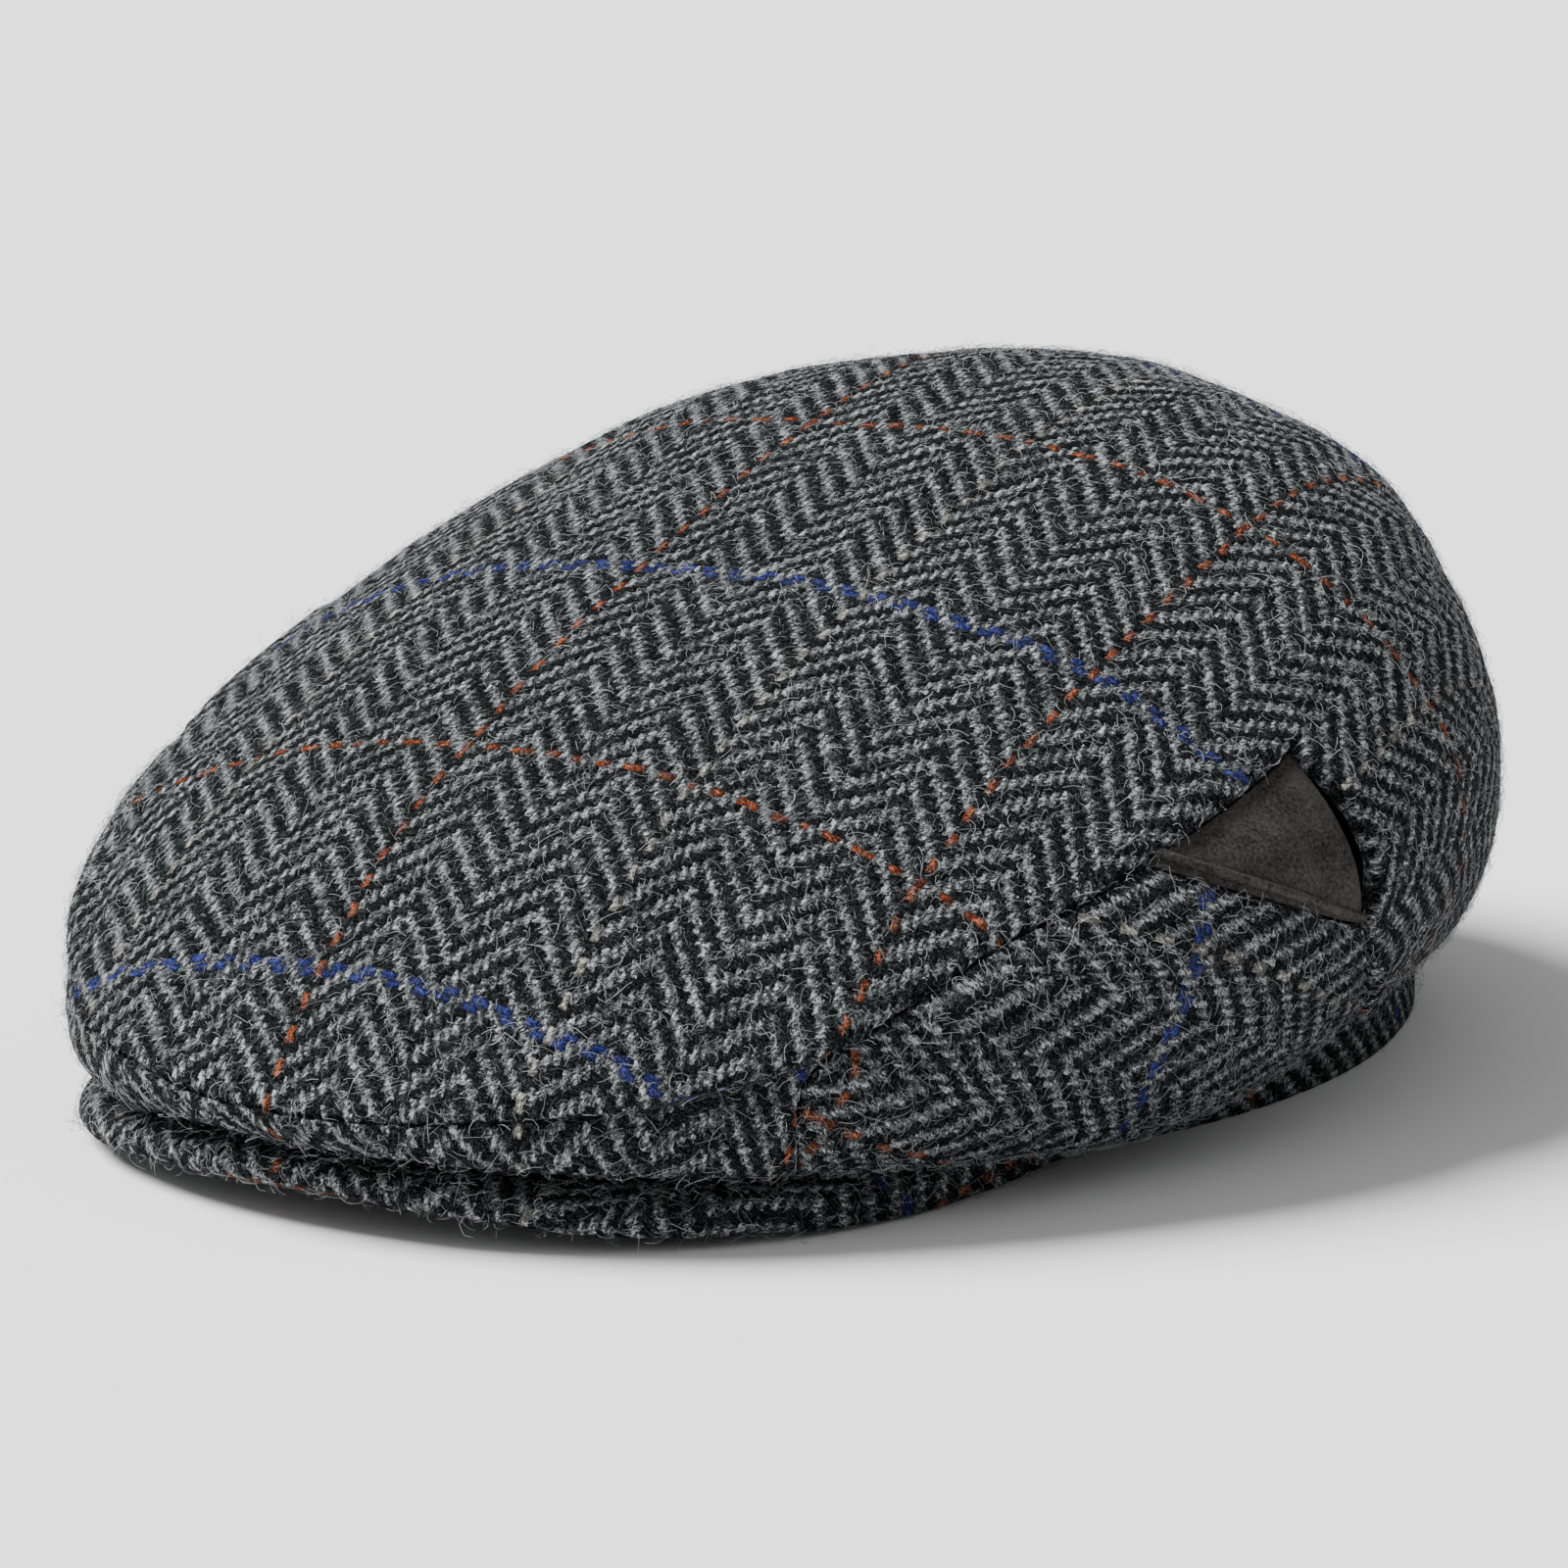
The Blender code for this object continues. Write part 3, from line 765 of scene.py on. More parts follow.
def swept(points, places, shown=()):
    """A closed shell through neighbouring profiles, with the numbers of their sides that show."""
    count, size = points.shape[:2]
    faces = [
        [here + corner, here + after, here + size + after, here + size + corner]
        for here in range(0, (count - 1) * size, size)
        for corner, after in zip(range(size), [*range(1, size), 0])
    ]
    fronts = [face for face in range(len(faces)) if face % size in shown]
    faces += [list(range(size))[::-1], list(range((count - 1) * size, count * size))]
    return Shell(points.reshape(-1, 3), faces, places.reshape(-1, 2), fronts)


def facing_out(points, faces):
    """The faces, all turned over if the closed body would be inside out."""
    volume = 0.0
    for face in faces:
        for second, third in zip(face[1:], face[2:]):
            volume += np.dot(points[face[0]], np.cross(points[second], points[third]))
    return faces if volume > 0 else [face[::-1] for face in faces]


def flipped(shell):
    """The same shell for the wearer's right, with its cloth cut as a mirror image."""
    faces = [face[::-1] for face in shell.faces]
    return Shell(shell.points * (-1.0, 1.0, 1.0), faces, shell.places, shell.fronts)


def peak_shell(shape):
    """The board and its cloth cover, which is drawn over a rounded lip and lies flat below.

    Below the lip the cloth runs back towards the band as it came.
    """
    angle = np.linspace(-PEAK_SPREAD, PEAK_SPREAD, PEAK_STEPS + 1)
    root = band_reach(angle) + GAP
    rows = crowded(PEAK_ROWS) * (1.0 - PEAK_NOSE)
    turn = np.radians(np.linspace(PEAK_NOSE_TURN, -PEAK_NOSE_TURN, PEAK_NOSE_STEPS))
    share = np.concatenate([rows, 1.0 - PEAK_NOSE * (1.0 - np.cos(turn)), rows[::-1]])
    lift = np.concatenate([0 * rows + 1.0, np.sin(turn), 0 * rows - 1.0]) * PEAK_BOARD / 2
    corners = []
    for across, offset in zip(share, lift):
        height = peak_underside(angle, across) + PEAK_BOARD / 2 + offset
        corners.append(polar(angle, root + peak_depth(angle) * across, height))
    points = np.stack(corners, axis=1)
    swell = waves(points.reshape(-1, 3)).reshape(points.shape[:2])
    points[..., 2] += shape.swell * PEAK_SWELL * swell * ease(share, *PEAK_SWELLS)
    run = run_along(points)
    below = len(rows) + len(turn)
    run[:, below:] = 2 * run[:, below - 1:below] - run[:, below:]
    sine, cosine = sine_cosine(angle[:, None])
    reach = root[:, None] + run
    places = np.stack([sine * reach * PEAK_GIVE, -cosine * reach], axis=-1) + PEAK_PLACE
    return swept(points, places, np.flatnonzero(share[:below] > PEAK_SHOWN))


def band_shell():
    """The head band, a standing oval strip with soft edges, its ends joined at the back."""
    angle = np.linspace(-BAND_JOINT, BAND_JOINT, BAND_STEPS + 1)
    reach = band_reach(angle)
    length = run_along(polar(angle, reach, 0 * angle))
    corners, places = [], []
    for inward, height in BAND_PROFILE:
        corners.append(polar(angle, reach - BAND_WALL * inward, 0 * angle + BAND_HEIGHT * height))
        up = BAND_HEIGHT * height - BAND_WALL * inward
        places.append(np.stack([0 * angle + up, length], axis=-1))
    outside = [index for index, (inward, _) in enumerate(BAND_PROFILE) if inward == 0.0]
    return swept(np.stack(corners, axis=1), np.stack(places, axis=1) + BAND_PLACE, outside[:-1])


def piping_shell(width):
    """The narrow folded strip of suede along the gusset's lower edge, thinned out at both ends."""
    tip, rear = GUSSET_LOWER_EDGE[0] + PIPING_FROM_TIP, GUSSET_LOWER_EDGE[-1] - PIPING_FROM_REAR
    angle, level = np.linspace(tip, rear, PIPING_STEPS).T
    normal = crown_normal(angle, level)
    centre = crown_surface(angle, level)
    inward = unit(np.cross(unit(np.gradient(centre, axis=0)), normal))
    inward *= np.sign(inward[:, 2:3])
    centre = centre + inward * (width * PIPING_IN) - normal * PIPING_DOWN
    share = np.linspace(0, 1, PIPING_STEPS)
    ends = np.sqrt(np.clip(share * (1.0 - share) * PIPING_FILLS, PIPING_THIN, 1.0))
    sine, cosine = sine_cosine(np.linspace(0.0, 360.0, PIPING_SIDES, endpoint=False)[:, None])
    side = cosine * inward[:, None] * width / 2
    rise = sine * normal[:, None] * width * PIPING_HEIGHT
    points = centre[:, None] + (side + rise) * ends[:, None, None]
    return swept(points, np.zeros((*points.shape[:2], 2)))


def linear(code):
    """A colour's hex code as linear red, green and blue."""
    shares = [int(code[place:place + 2], 16) / 255 for place in (0, 2, 4)]
    return tuple(x / 12.92 if x <= 0.04045 else ((x + 0.055) / 1.055) ** 2.4 for x in shares)


def add(tree, kind, inputs=(), out=0, **settings):
    """Adds a node with its settings, feeds its inputs from values or sockets, gives one output."""
    node = tree.nodes.new(kind)
    for setting, value in settings.items():
        setattr(node, setting, value)
    for place, value in dict(inputs).items():
        if isinstance(value, bpy.types.NodeSocket):
            tree.links.new(value, node.inputs[place])
        else:
            node.inputs[place].default_value = value
    return node.outputs[out]


def work_out(tree, known, sums, kind="ShaderNodeMath"):
    """Adds a node for each line of a text of sums: its name, operation and up to three values."""
    for line in sums.strip().splitlines():
        name, operation, *words = line.split()
        values = [known[word] if word in known else float(word) for word in words]
        known[name] = add(tree, kind, dict(enumerate(values)), operation=operation)


def new_material(name, roughness, specular):
    """A new material, its node tree and its shader's inputs."""
    material = bpy.data.materials.new(name)
    material.use_nodes = True
    shader = material.node_tree.nodes["Principled BSDF"].inputs
    shader["Roughness"].default_value = roughness
    shader["Specular IOR Level"].default_value = specular
    return material, material.node_tree, shader


# The weave in millimetres. A turn of 0 or 1 has the light warp on top, and of 2 or 3 the dark weft.
WEAVE = f"""
along_ends MULTIPLY_ADD u ends_per_mm first_end
end FLOOR along_ends
end_share SUBTRACT along_ends end
along_picks MULTIPLY_ADD v picks_per_mm first_pick
pick FLOOR along_picks
pick_share SUBTRACT along_picks pick
columns DIVIDE end {ENDS_PER_COLUMN}
column FLOOR columns
odd FLOORED_MODULO column 2
side MULTIPLY_ADD odd 2 -1
climb MULTIPLY_ADD end side pick
turn FLOORED_MODULO climb 4
warp_up LESS_THAN turn 1.5
weft_up SUBTRACT 1 warp_up
warp_run ADD turn pick_share
warp_share DIVIDE warp_run 2
lean MULTIPLY_ADD warp_share 0.5 -0.25
warp_across ADD end_share lean
warp_inside MAXIMUM warp_across 0
warp_width MINIMUM warp_inside 1
warp_turn MULTIPLY warp_width {np.pi}
warp_side SINE warp_turn
warp_arch MULTIPLY warp_share {np.pi}
warp_bow SINE warp_arch
warp_round MULTIPLY warp_side warp_bow
warp_full POWER warp_round 0.6
weft_step SUBTRACT turn 2.5
weft_sided MULTIPLY_ADD weft_step side 0.5
weft_run ADD weft_sided end_share
weft_arch MULTIPLY weft_run {np.pi / 2}
weft_bow SINE weft_arch
weft_turn MULTIPLY pick_share {np.pi}
weft_side SINE weft_turn
weft_round MULTIPLY weft_side weft_bow
weft_held MAXIMUM weft_round 0
weft_full POWER weft_held 0.6
warp_part MULTIPLY warp_full warp_up
yarn_round MULTIPLY_ADD weft_full weft_up warp_part
float_row DIVIDE climb 4
float_place FLOOR float_row
end_part MULTIPLY end warp_up
float_line MULTIPLY_ADD pick weft_up end_part
end_in_check FLOORED_MODULO end {ENDS_PER_CHECK}
orange_end LESS_THAN end_in_check 0.5
from_bright SUBTRACT end_in_check {ENDS_PER_CHECK / 2}
off_bright ABSOLUTE from_bright
bright_end LESS_THAN off_bright 0.5
pick_in_check FLOORED_MODULO pick {PICKS_PER_CHECK}
blue_pick LESS_THAN pick_in_check 1.5
from_orange SUBTRACT pick_in_check {PICKS_PER_CHECK / 2}
off_orange ABSOLUTE from_orange
orange_pick LESS_THAN off_orange 0.5
warp_orange MULTIPLY orange_end warp_up
warp_bright MULTIPLY bright_end warp_up
weft_orange MULTIPLY orange_pick weft_up
weft_blue MULTIPLY blue_pick weft_up
orange ADD warp_orange weft_orange
"""

Hair = namedtuple("Hair", "spread middle width")
# A stray hair lies where a noise, of some spread in millimetres, comes within a width of its middle
HAIRS = (Hair(1.6, 0.50, 0.011), Hair(2.6, 0.47, 0.011), Hair(1.0, 0.52, 0.016))
HAIR_LINE = """
off_middle SUBTRACT noise middle
from_middle ABSOLUTE off_middle
nearness MULTIPLY_ADD from_middle sharpness 1
hair MAXIMUM nearness 0
all_hairs MAXIMUM hair all_hairs
"""

# Stray hairs cover the light yarn more. A yarn is lightest on its crown and darker towards its edges,
# which is painted shade in the hollows between the yarns; it is also streaked along its fibres, and
# each of its floats is a little lighter or darker. Hairs stand over the yarns.
TONES = """
hair_share MULTIPLY_ADD warp_up 0.34 0.32
hair_cover MULTIPLY all_hairs hair_share
grain MULTIPLY_ADD streaks 5.2 -2.6
fleck MULTIPLY_ADD float_shade 0.34 -0.17
grain_fleck ADD grain fleck
tone_sum MULTIPLY_ADD yarn_round 0.47 grain_fleck
tone_low MAXIMUM tone_sum 0
tone_top MINIMUM tone_low 1
tone POWER tone_top 2.2
yarn_height MULTIPLY_ADD streaks 0.35 yarn_round
height MULTIPLY_ADD all_hairs 0.3 yarn_height
"""

Wander = namedtuple("Wander", "width amount")
# How far yarns stray from straight, in millimetres, over bends of the given width
WANDERS = (Wander(32.0, 3.0), Wander(6.0, 1.2), Wander(1.3, 0.85), Wander(0.4, 0.40))
WANDER_LINE = """
stray SUBTRACT noise half
place MULTIPLY_ADD stray amount place
"""

# How the noise that streaks a yarn is squeezed across it and along it
STREAK_ACROSS = 3.2
STREAK_ALONG = 1.1

# Each yarn with the sum that says where it shows, over the ones before it
YARNS = (
    ("dark", "weft_up"),
    ("light", "warp_up"),
    ("bright", "warp_bright"),
    ("orange", "orange"),
    ("blue", "weft_blue"),
)


def wool_cloth(name, cloth):
    """Woollen-spun yarn in a two-up two-down herringbone, light warp on near-black weft.

    The yarns are thick, hairy and unevenly spun: the eye sees leaning lumps, soft ragged edges
    between the light and dark strokes, stray light hairs over both, and no gloss. The shade in
    the hollows between the yarns is painted into their colour.
    """
    material, tree, shader = new_material(name, roughness=1.0, specular=0.03)
    uv = add(tree, "ShaderNodeUVMap", uv_map="cloth")
    in_mm = add(tree, "ShaderNodeVectorMath", {0: uv, 1: (1 / MM,) * 3}, operation="MULTIPLY")
    known = {"place": in_mm, "half": (0.5,) * 3}
    for wander in WANDERS:
        field = {"Vector": in_mm, "Scale": 1.0 / wander.width, "Detail": 2.0}
        known["noise"] = add(tree, "ShaderNodeTexNoise", field, out=1)
        known["amount"] = (wander.amount,) * 3
        work_out(tree, known, WANDER_LINE, "ShaderNodeVectorMath")
    place = known["place"]
    axes = add(tree, "ShaderNodeSeparateXYZ", {0: place}).node.outputs
    known = {
        "u": axes[0],
        "v": axes[1],
        "ends_per_mm": MM / cloth.end_pitch,
        "first_end": 0.5 - ORANGE_END / cloth.end_pitch,
        "picks_per_mm": MM / cloth.pick_pitch,
        "first_pick": 0.5 - BLUE_PICK / cloth.pick_pitch,
        "all_hairs": 0.0,
    }
    work_out(tree, known, WEAVE)
    twisted = {"Vector": place, "Angle": cloth.twist}
    twisted = add(tree, "ShaderNodeVectorRotate", twisted, rotation_type="Z_AXIS")
    streaks = {0: known["warp_up"]}
    for feed, *squeeze in ((3, STREAK_ACROSS, STREAK_ALONG), (2, STREAK_ALONG, STREAK_ACROSS)):
        spun = {0: twisted, 1: (*squeeze, 1.0)}
        spun = add(tree, "ShaderNodeVectorMath", spun, operation="MULTIPLY")
        field = {"Vector": spun, "Scale": 1.0, "Detail": 3.0, "Roughness": 0.65, "Distortion": 0.8}
        streaks[feed] = add(tree, "ShaderNodeTexNoise", field)
    known["streaks"] = add(tree, "ShaderNodeMix", streaks, data_type="FLOAT")
    for hair in HAIRS:
        field = {"Vector": in_mm, "Scale": 1.0 / hair.spread, "Detail": 2.0, "Distortion": 1.3}
        known["noise"] = add(tree, "ShaderNodeTexNoise", field)
        known["middle"], known["sharpness"] = hair.middle, -1.0 / hair.width
        work_out(tree, known, HAIR_LINE)
    row = {0: known["float_line"], 1: known["float_place"], 2: known["warp_up"]}
    row = add(tree, "ShaderNodeCombineXYZ", row)
    known["float_shade"] = add(tree, "ShaderNodeTexWhiteNoise", {"Vector": row})
    work_out(tree, known, TONES)
    # Each yarn runs from its low colour to its high one: darker towards its hollows as painted shade,
    # and by its own streaks and flecks
    colour = (0.0, 0.0, 0.0, 1.0)
    for yarn, where in YARNS:
        low, high = getattr(cloth, yarn + "_low"), getattr(cloth, yarn + "_high")
        shades = {0: known["tone"], 6: (*low, 1.0), 7: (*high, 1.0)}
        shade = add(tree, "ShaderNodeMix", shades, out=2, data_type="RGBA")
        layer = {0: known[where], 6: colour, 7: shade}
        colour = add(tree, "ShaderNodeMix", layer, out=2, data_type="RGBA")
    layer = {0: known["hair_cover"], 6: colour, 7: (*cloth.hair_colour, 1.0)}
    colour = add(tree, "ShaderNodeMix", layer, out=2, data_type="RGBA")
    relief = {"Height": known["height"], "Distance": cloth.relief, "Strength": 1.0}
    tree.links.new(colour, shader["Base Color"])
    tree.links.new(add(tree, "ShaderNodeBump", relief), shader["Normal"])
    return material


# Suede's nap from a fine noise and a broad one, each with its width and detail, held in 0 to 1
NAP_NOISES = (("fine", 0.00060, 3.0), ("broad", 0.0060, 4.0))
NAP = """
broad_part MULTIPLY_ADD broad 1.4 -0.7
fine_part MULTIPLY_ADD fine 2.2 -0.6
nap ADD broad_part fine_part
nap_low MAXIMUM nap 0
nap_held MINIMUM nap_low 1
"""


def suede(name, leather):
    """Split leather sanded to a short nap: matt, finely grained, blotched where it was rubbed."""
    material, tree, shader = new_material(name, roughness=0.85, specular=0.10)
    place = add(tree, "ShaderNodeTexCoord", out=3)
    known = {}
    for level, width, detail in NAP_NOISES:
        field = {"Vector": place, "Scale": 1.0 / width, "Detail": detail, "Roughness": 0.65}
        known[level] = add(tree, "ShaderNodeTexNoise", field)
    work_out(tree, known, NAP)
    shades = {0: known["nap_held"], 6: (*leather.low, 1.0), 7: (*leather.high, 1.0)}
    colour = add(tree, "ShaderNodeMix", shades, out=2, data_type="RGBA")
    relief = {"Height": known["fine"], "Distance": leather.grain, "Strength": 0.8}
    tree.links.new(colour, shader["Base Color"])
    tree.links.new(add(tree, "ShaderNodeBump", relief), shader["Normal"])
    return material


def loose_wool(name, fibres):
    """Single wool hairs that stand off the cloth, most of them light and some dark."""
    material, tree, shader = new_material(name, roughness=0.75, specular=0.3)
    shade = add(tree, "ShaderNodeAttribute", out=2, attribute_name="shade")
    shades = {0: shade, 6: (*fibres.low, 1.0), 7: (*fibres.high, 1.0)}
    colour = add(tree, "ShaderNodeMix", shades, out=2, data_type="RGBA")
    tree.links.new(colour, shader["Base Color"])
    return material


# What is drawn evenly for each hair, between two numbers or two of the tree's inputs
HAIR_DRAWS = (
    ("length", "Shortest", "Longest"),
    ("start", 0.0, 2 * np.pi),
    ("bend", -5.5, 5.5),
    ("curl_share", 0.4, 1.5),
    ("lift_share", 0.05, 1.0),
    ("stand_share", 0.0, 1.0),
    ("drift", 0.25, 0.9),
)

# A hair's shape, from these and from how far along it a point lies: it curls round a circle while
# it drifts on, bows up off the cloth, and a few stand up at their ends
HAIR_SHAPE = """
radius MULTIPLY curl curl_share
angle MULTIPLY_ADD bend along start
cosine COSINE angle
sine SINE angle
first_cosine COSINE start
first_sine SINE start
forth SUBTRACT cosine first_cosine
aside SUBTRACT sine first_sine
travel MULTIPLY length drift
travelled MULTIPLY travel along
run MULTIPLY_ADD radius forth travelled
sway MULTIPLY radius aside
arch MULTIPLY along 2.7
bow SINE arch
rarely POWER stand_share 5
stand MULTIPLY rarely along
bowed MULTIPLY lift_share bow
stands MULTIPLY_ADD stand 1.2 bowed
rise MULTIPLY stands lift
"""

# The place of a point on a hair, off its root on the cloth and never below the table
HAIR_POINT = """
across CROSS_PRODUCT normal heading
first NORMALIZE across
second CROSS_PRODUCT normal first
run_on MULTIPLY_ADD first run root
swayed MULTIPLY_ADD second sway run_on
risen MULTIPLY_ADD normal rise swayed
point MAXIMUM risen lowest
"""

# Sizes of the loose hairs, by the names of the tree's inputs
FIBRE_SIZES = ("Shortest", "Longest", "Thickness", "Curl", "Lift")


def fibre_tree():
    """Grows curled hairs from the faces marked as fronts, each a closed three-sided tube."""
    tree = bpy.data.node_groups.new("loose_fibres", "GeometryNodeTree")
    sockets = tree.interface
    sockets.new_socket("Cloth", in_out="INPUT", socket_type="NodeSocketGeometry")
    for name in ("Density", *FIBRE_SIZES):
        sockets.new_socket(name, in_out="INPUT", socket_type="NodeSocketFloat")
    sockets.new_socket("Seed", in_out="INPUT", socket_type="NodeSocketInt")
    sockets.new_socket("Finish", in_out="INPUT", socket_type="NodeSocketMaterial")
    sockets.new_socket("Fibres", in_out="OUTPUT", socket_type="NodeSocketGeometry")
    given = tree.nodes.new("NodeGroupInput").outputs
    fronts = add(tree, "GeometryNodeInputNamedAttribute", {"Name": "fronts"}, data_type="BOOLEAN")
    scatter = {"Mesh": given["Cloth"], "Selection": fronts, "Density": given["Density"],
               "Seed": given["Seed"]}
    roots = add(tree, "GeometryNodeDistributePointsOnFaces", scatter)
    facing = roots.node.outputs["Normal"]
    keep = {"Geometry": roots, "Name": "facing", "Value": facing}
    roots = add(tree, "GeometryNodeStoreNamedAttribute", keep, data_type="FLOAT_VECTOR")
    strand = add(tree, "GeometryNodeCurvePrimitiveLine")
    strand = add(tree, "GeometryNodeResampleCurve", {"Curve": strand, "Count": FIBRE_POINTS})
    strands = {"Points": roots, "Instance": strand}
    strands = add(tree, "GeometryNodeInstanceOnPoints", strands)
    strands = add(tree, "GeometryNodeRealizeInstances", {"Geometry": strands})
    index = add(tree, "GeometryNodeCurveOfPoint")
    along = add(tree, "GeometryNodeSplineParameter")
    spot = add(tree, "GeometryNodeInputPosition")
    facing = add(tree, "GeometryNodeInputNamedAttribute", {"Name": "facing"},
                 data_type="FLOAT_VECTOR")
    sampled = {"data_type": "FLOAT_VECTOR", "domain": "POINT"}
    known = {"along": along, "curl": given["Curl"], "lift": given["Lift"]}
    for name, value in (("root", spot), ("normal", facing)):
        sample = {0: roots, 1: value, 2: index}
        known[name] = add(tree, "GeometryNodeSampleIndex", sample, **sampled)
    for seed, (name, *ends) in enumerate(HAIR_DRAWS):
        low, high = (given[end] if isinstance(end, str) else end for end in ends)
        drawn = {2: low, 3: high, 7: index, 8: seed}
        known[name] = add(tree, "FunctionNodeRandomValue", drawn, out=1, data_type="FLOAT")
    work_out(tree, known, HAIR_SHAPE)
    heading = {0: (-1.0,) * 3, 1: (1.0,) * 3, 7: index, 8: HEADING_SEED}
    known["heading"] = add(tree, "FunctionNodeRandomValue", heading, data_type="FLOAT_VECTOR")
    known["lowest"] = (-1.0, -1.0, OVER_TABLE)
    work_out(tree, known, HAIR_POINT, "ShaderNodeVectorMath")
    moved = {"Geometry": strands, "Position": known["point"]}
    strands = add(tree, "GeometryNodeSetPosition", moved)
    own = add(tree, "GeometryNodeInputIndex")
    shade = {2: 0.0, 3: 1.0, 7: own, 8: SHADE_SEED}
    shade = add(tree, "FunctionNodeRandomValue", shade, out=1, data_type="FLOAT")
    keep = {"Geometry": strands, "Name": "shade", "Value": shade}
    strands = add(tree, "GeometryNodeStoreNamedAttribute", keep, data_type="FLOAT", domain="CURVE")
    half = add(tree, "ShaderNodeMath", {0: given["Thickness"], 1: 0.5}, operation="MULTIPLY")
    section = {"Resolution": 3, "Radius": half}
    section = add(tree, "GeometryNodeCurvePrimitiveCircle", section)
    tubes = {"Curve": strands, "Profile Curve": section, "Fill Caps": True}
    tubes = add(tree, "GeometryNodeCurveToMesh", tubes)
    tubes = add(tree, "GeometryNodeRealizeInstances", {"Geometry": tubes})
    tubes = add(tree, "GeometryNodeSetMaterial", {"Geometry": tubes, "Material": given["Finish"]})
    ending = tree.nodes.new("NodeGroupOutput")
    tree.links.new(tubes, ending.inputs["Fibres"])
    return tree


# Each finish with the function that makes it and the settings that it is made from
FINISHES = {
    "herringbone_wool": (wool_cloth, "cloth"),
    "brown_suede": (suede, "leather"),
    "loose_wool_hair": (loose_wool, "fibres"),
}


def finish(name):
    """The finish of that name, made the first time that it is asked for."""
    make, settings = FINISHES[name]
    made = bpy.data.materials.get(name)
    return made or make(name, getattr(bpy.context.scene.flat_cap, settings))


def set_down(name, data):
    """A new object of that name in the scene."""
    item = bpy.data.objects.new(name, data)
    bpy.context.scene.collection.objects.link(item)
    return item


def ride_and_slot(piece):
    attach(piece, "root")


def make_piece(name, shell, finish_name, node=None):
    """A finished piece with its place on the cloth as a UV map and its showing faces marked."""
    mesh = bpy.data.meshes.new(name)
    mesh.from_pydata(shell.points.tolist(), [], facing_out(shell.points, shell.faces))
    mesh.shade_smooth()
    mesh.set_sharp_from_angle(angle=np.radians(SHARPEST_SMOOTH))
    corners = np.zeros(len(mesh.loops), dtype=np.int32)
    mesh.loops.foreach_get("vertex_index", corners)
    layer = mesh.uv_layers.new(name="cloth")
    layer.data.foreach_set("uv", shell.places[corners].astype(np.float32).ravel())
    shown = np.zeros(len(mesh.polygons), dtype=bool)
    shown[list(shell.fronts)] = True
    mesh.attributes.new("fronts", "BOOLEAN", "FACE").data.foreach_set("value", shown)
    mesh.materials.append(finish(finish_name))
    piece = set_down(name, mesh)
    ride_and_slot(piece)
    if node:
        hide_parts(node)


def make_pair(name, shell, finish_name, node=""):
    """A piece for the wearer's left and its mirror image, with the side's name in theirs."""
    for side, half in (("left", shell), ("right", flipped(shell))):
        make_piece(name.format(side), half, finish_name, node.format(side))


def grow_fibres(growth, fibres, seed):
    """Loose hairs over the showing faces of a piece, as one plain mesh of their own."""
    source = bpy.data.objects[growth.wearer].data
    shown = source.attributes["fronts"].data
    area = sum(face.area for face in source.polygons if shown[face.index].value)
    holder = set_down(growth.name + "_growing", source)
    modifier = holder.modifiers.new("loose_fibres", "NODES")
    modifier.node_group = bpy.data.node_groups.get("loose_fibres") or fibre_tree()
    given = {size: getattr(fibres, size.lower()) for size in FIBRE_SIZES}
    given["Density"] = fibres.count * growth.share / area
    given["Seed"] = seed
    given["Finish"] = finish("loose_wool_hair")
    for item in modifier.node_group.interface.items_tree:
        if item.in_out == "INPUT" and item.name in given:
            modifier[item.identifier] = given[item.name]
    graph = bpy.context.evaluated_depsgraph_get()
    mesh = bpy.data.meshes.new_from_object(holder.evaluated_get(graph), depsgraph=graph,
                                           preserve_all_data_layers=True)
    bpy.data.objects.remove(holder)
    mesh.name = growth.name
    ride_and_slot(set_down(growth.name, mesh))


def length(name, description, default, **limits):
    return FloatProperty(name=name, description=description, default=default, unit="LENGTH",
                         precision=5, min=0.0, **limits)


def colour(name, description, code):
    return FloatVectorProperty(name=name, description=description, default=linear(code),
                               subtype="COLOR", size=3, min=0.0, max=1.0)


class FlatCapCloth(bpy.types.PropertyGroup):
    end_pitch: length("End pitch", "Distance from one warp yarn to the next", END_PITCH)
    pick_pitch: length("Pick pitch", "Distance from one weft yarn to the next", 0.001549)
    relief: length("Yarn relief", "How far the yarns stand out of the cloth", 0.00070)
    twist: FloatProperty(name="Twist", description="Slant of the wool in a yarn",
                         default=np.radians(28), subtype="ANGLE")
    # Each yarn's low colour is partly painted shade in its hollows and partly its own darkest streaks
    # and flecks
    light_low: colour("Light yarn, low", "Light warp in its hollows", "15191b")
    light_high: colour("Light yarn, high", "Light warp on its crowns", "c8ccd0")
    bright_low: colour("Bright yarn, low", "Undyed warp yarn in its hollows", "4c4b45")
    bright_high: colour("Bright yarn, high", "Undyed warp yarn on its crowns", "e4e1d6")
    dark_low: colour("Dark yarn, low", "Dark weft in its hollows", "050607")
    dark_high: colour("Dark yarn, high", "Dark weft on its crowns", "1a2022")
    orange_low: colour("Orange yarn, low", "Orange check yarn in its hollows", "40190d")
    orange_high: colour("Orange yarn, high", "Orange check yarn on its crowns", "c0683c")
    blue_low: colour("Blue yarn, low", "Blue check yarn in its hollows", "10163a")
    blue_high: colour("Blue yarn, high", "Blue check yarn on its crowns", "424a9c")
    hair_colour: colour("Stray hair", "Hairs drawn on the cloth", "b4b8ba")


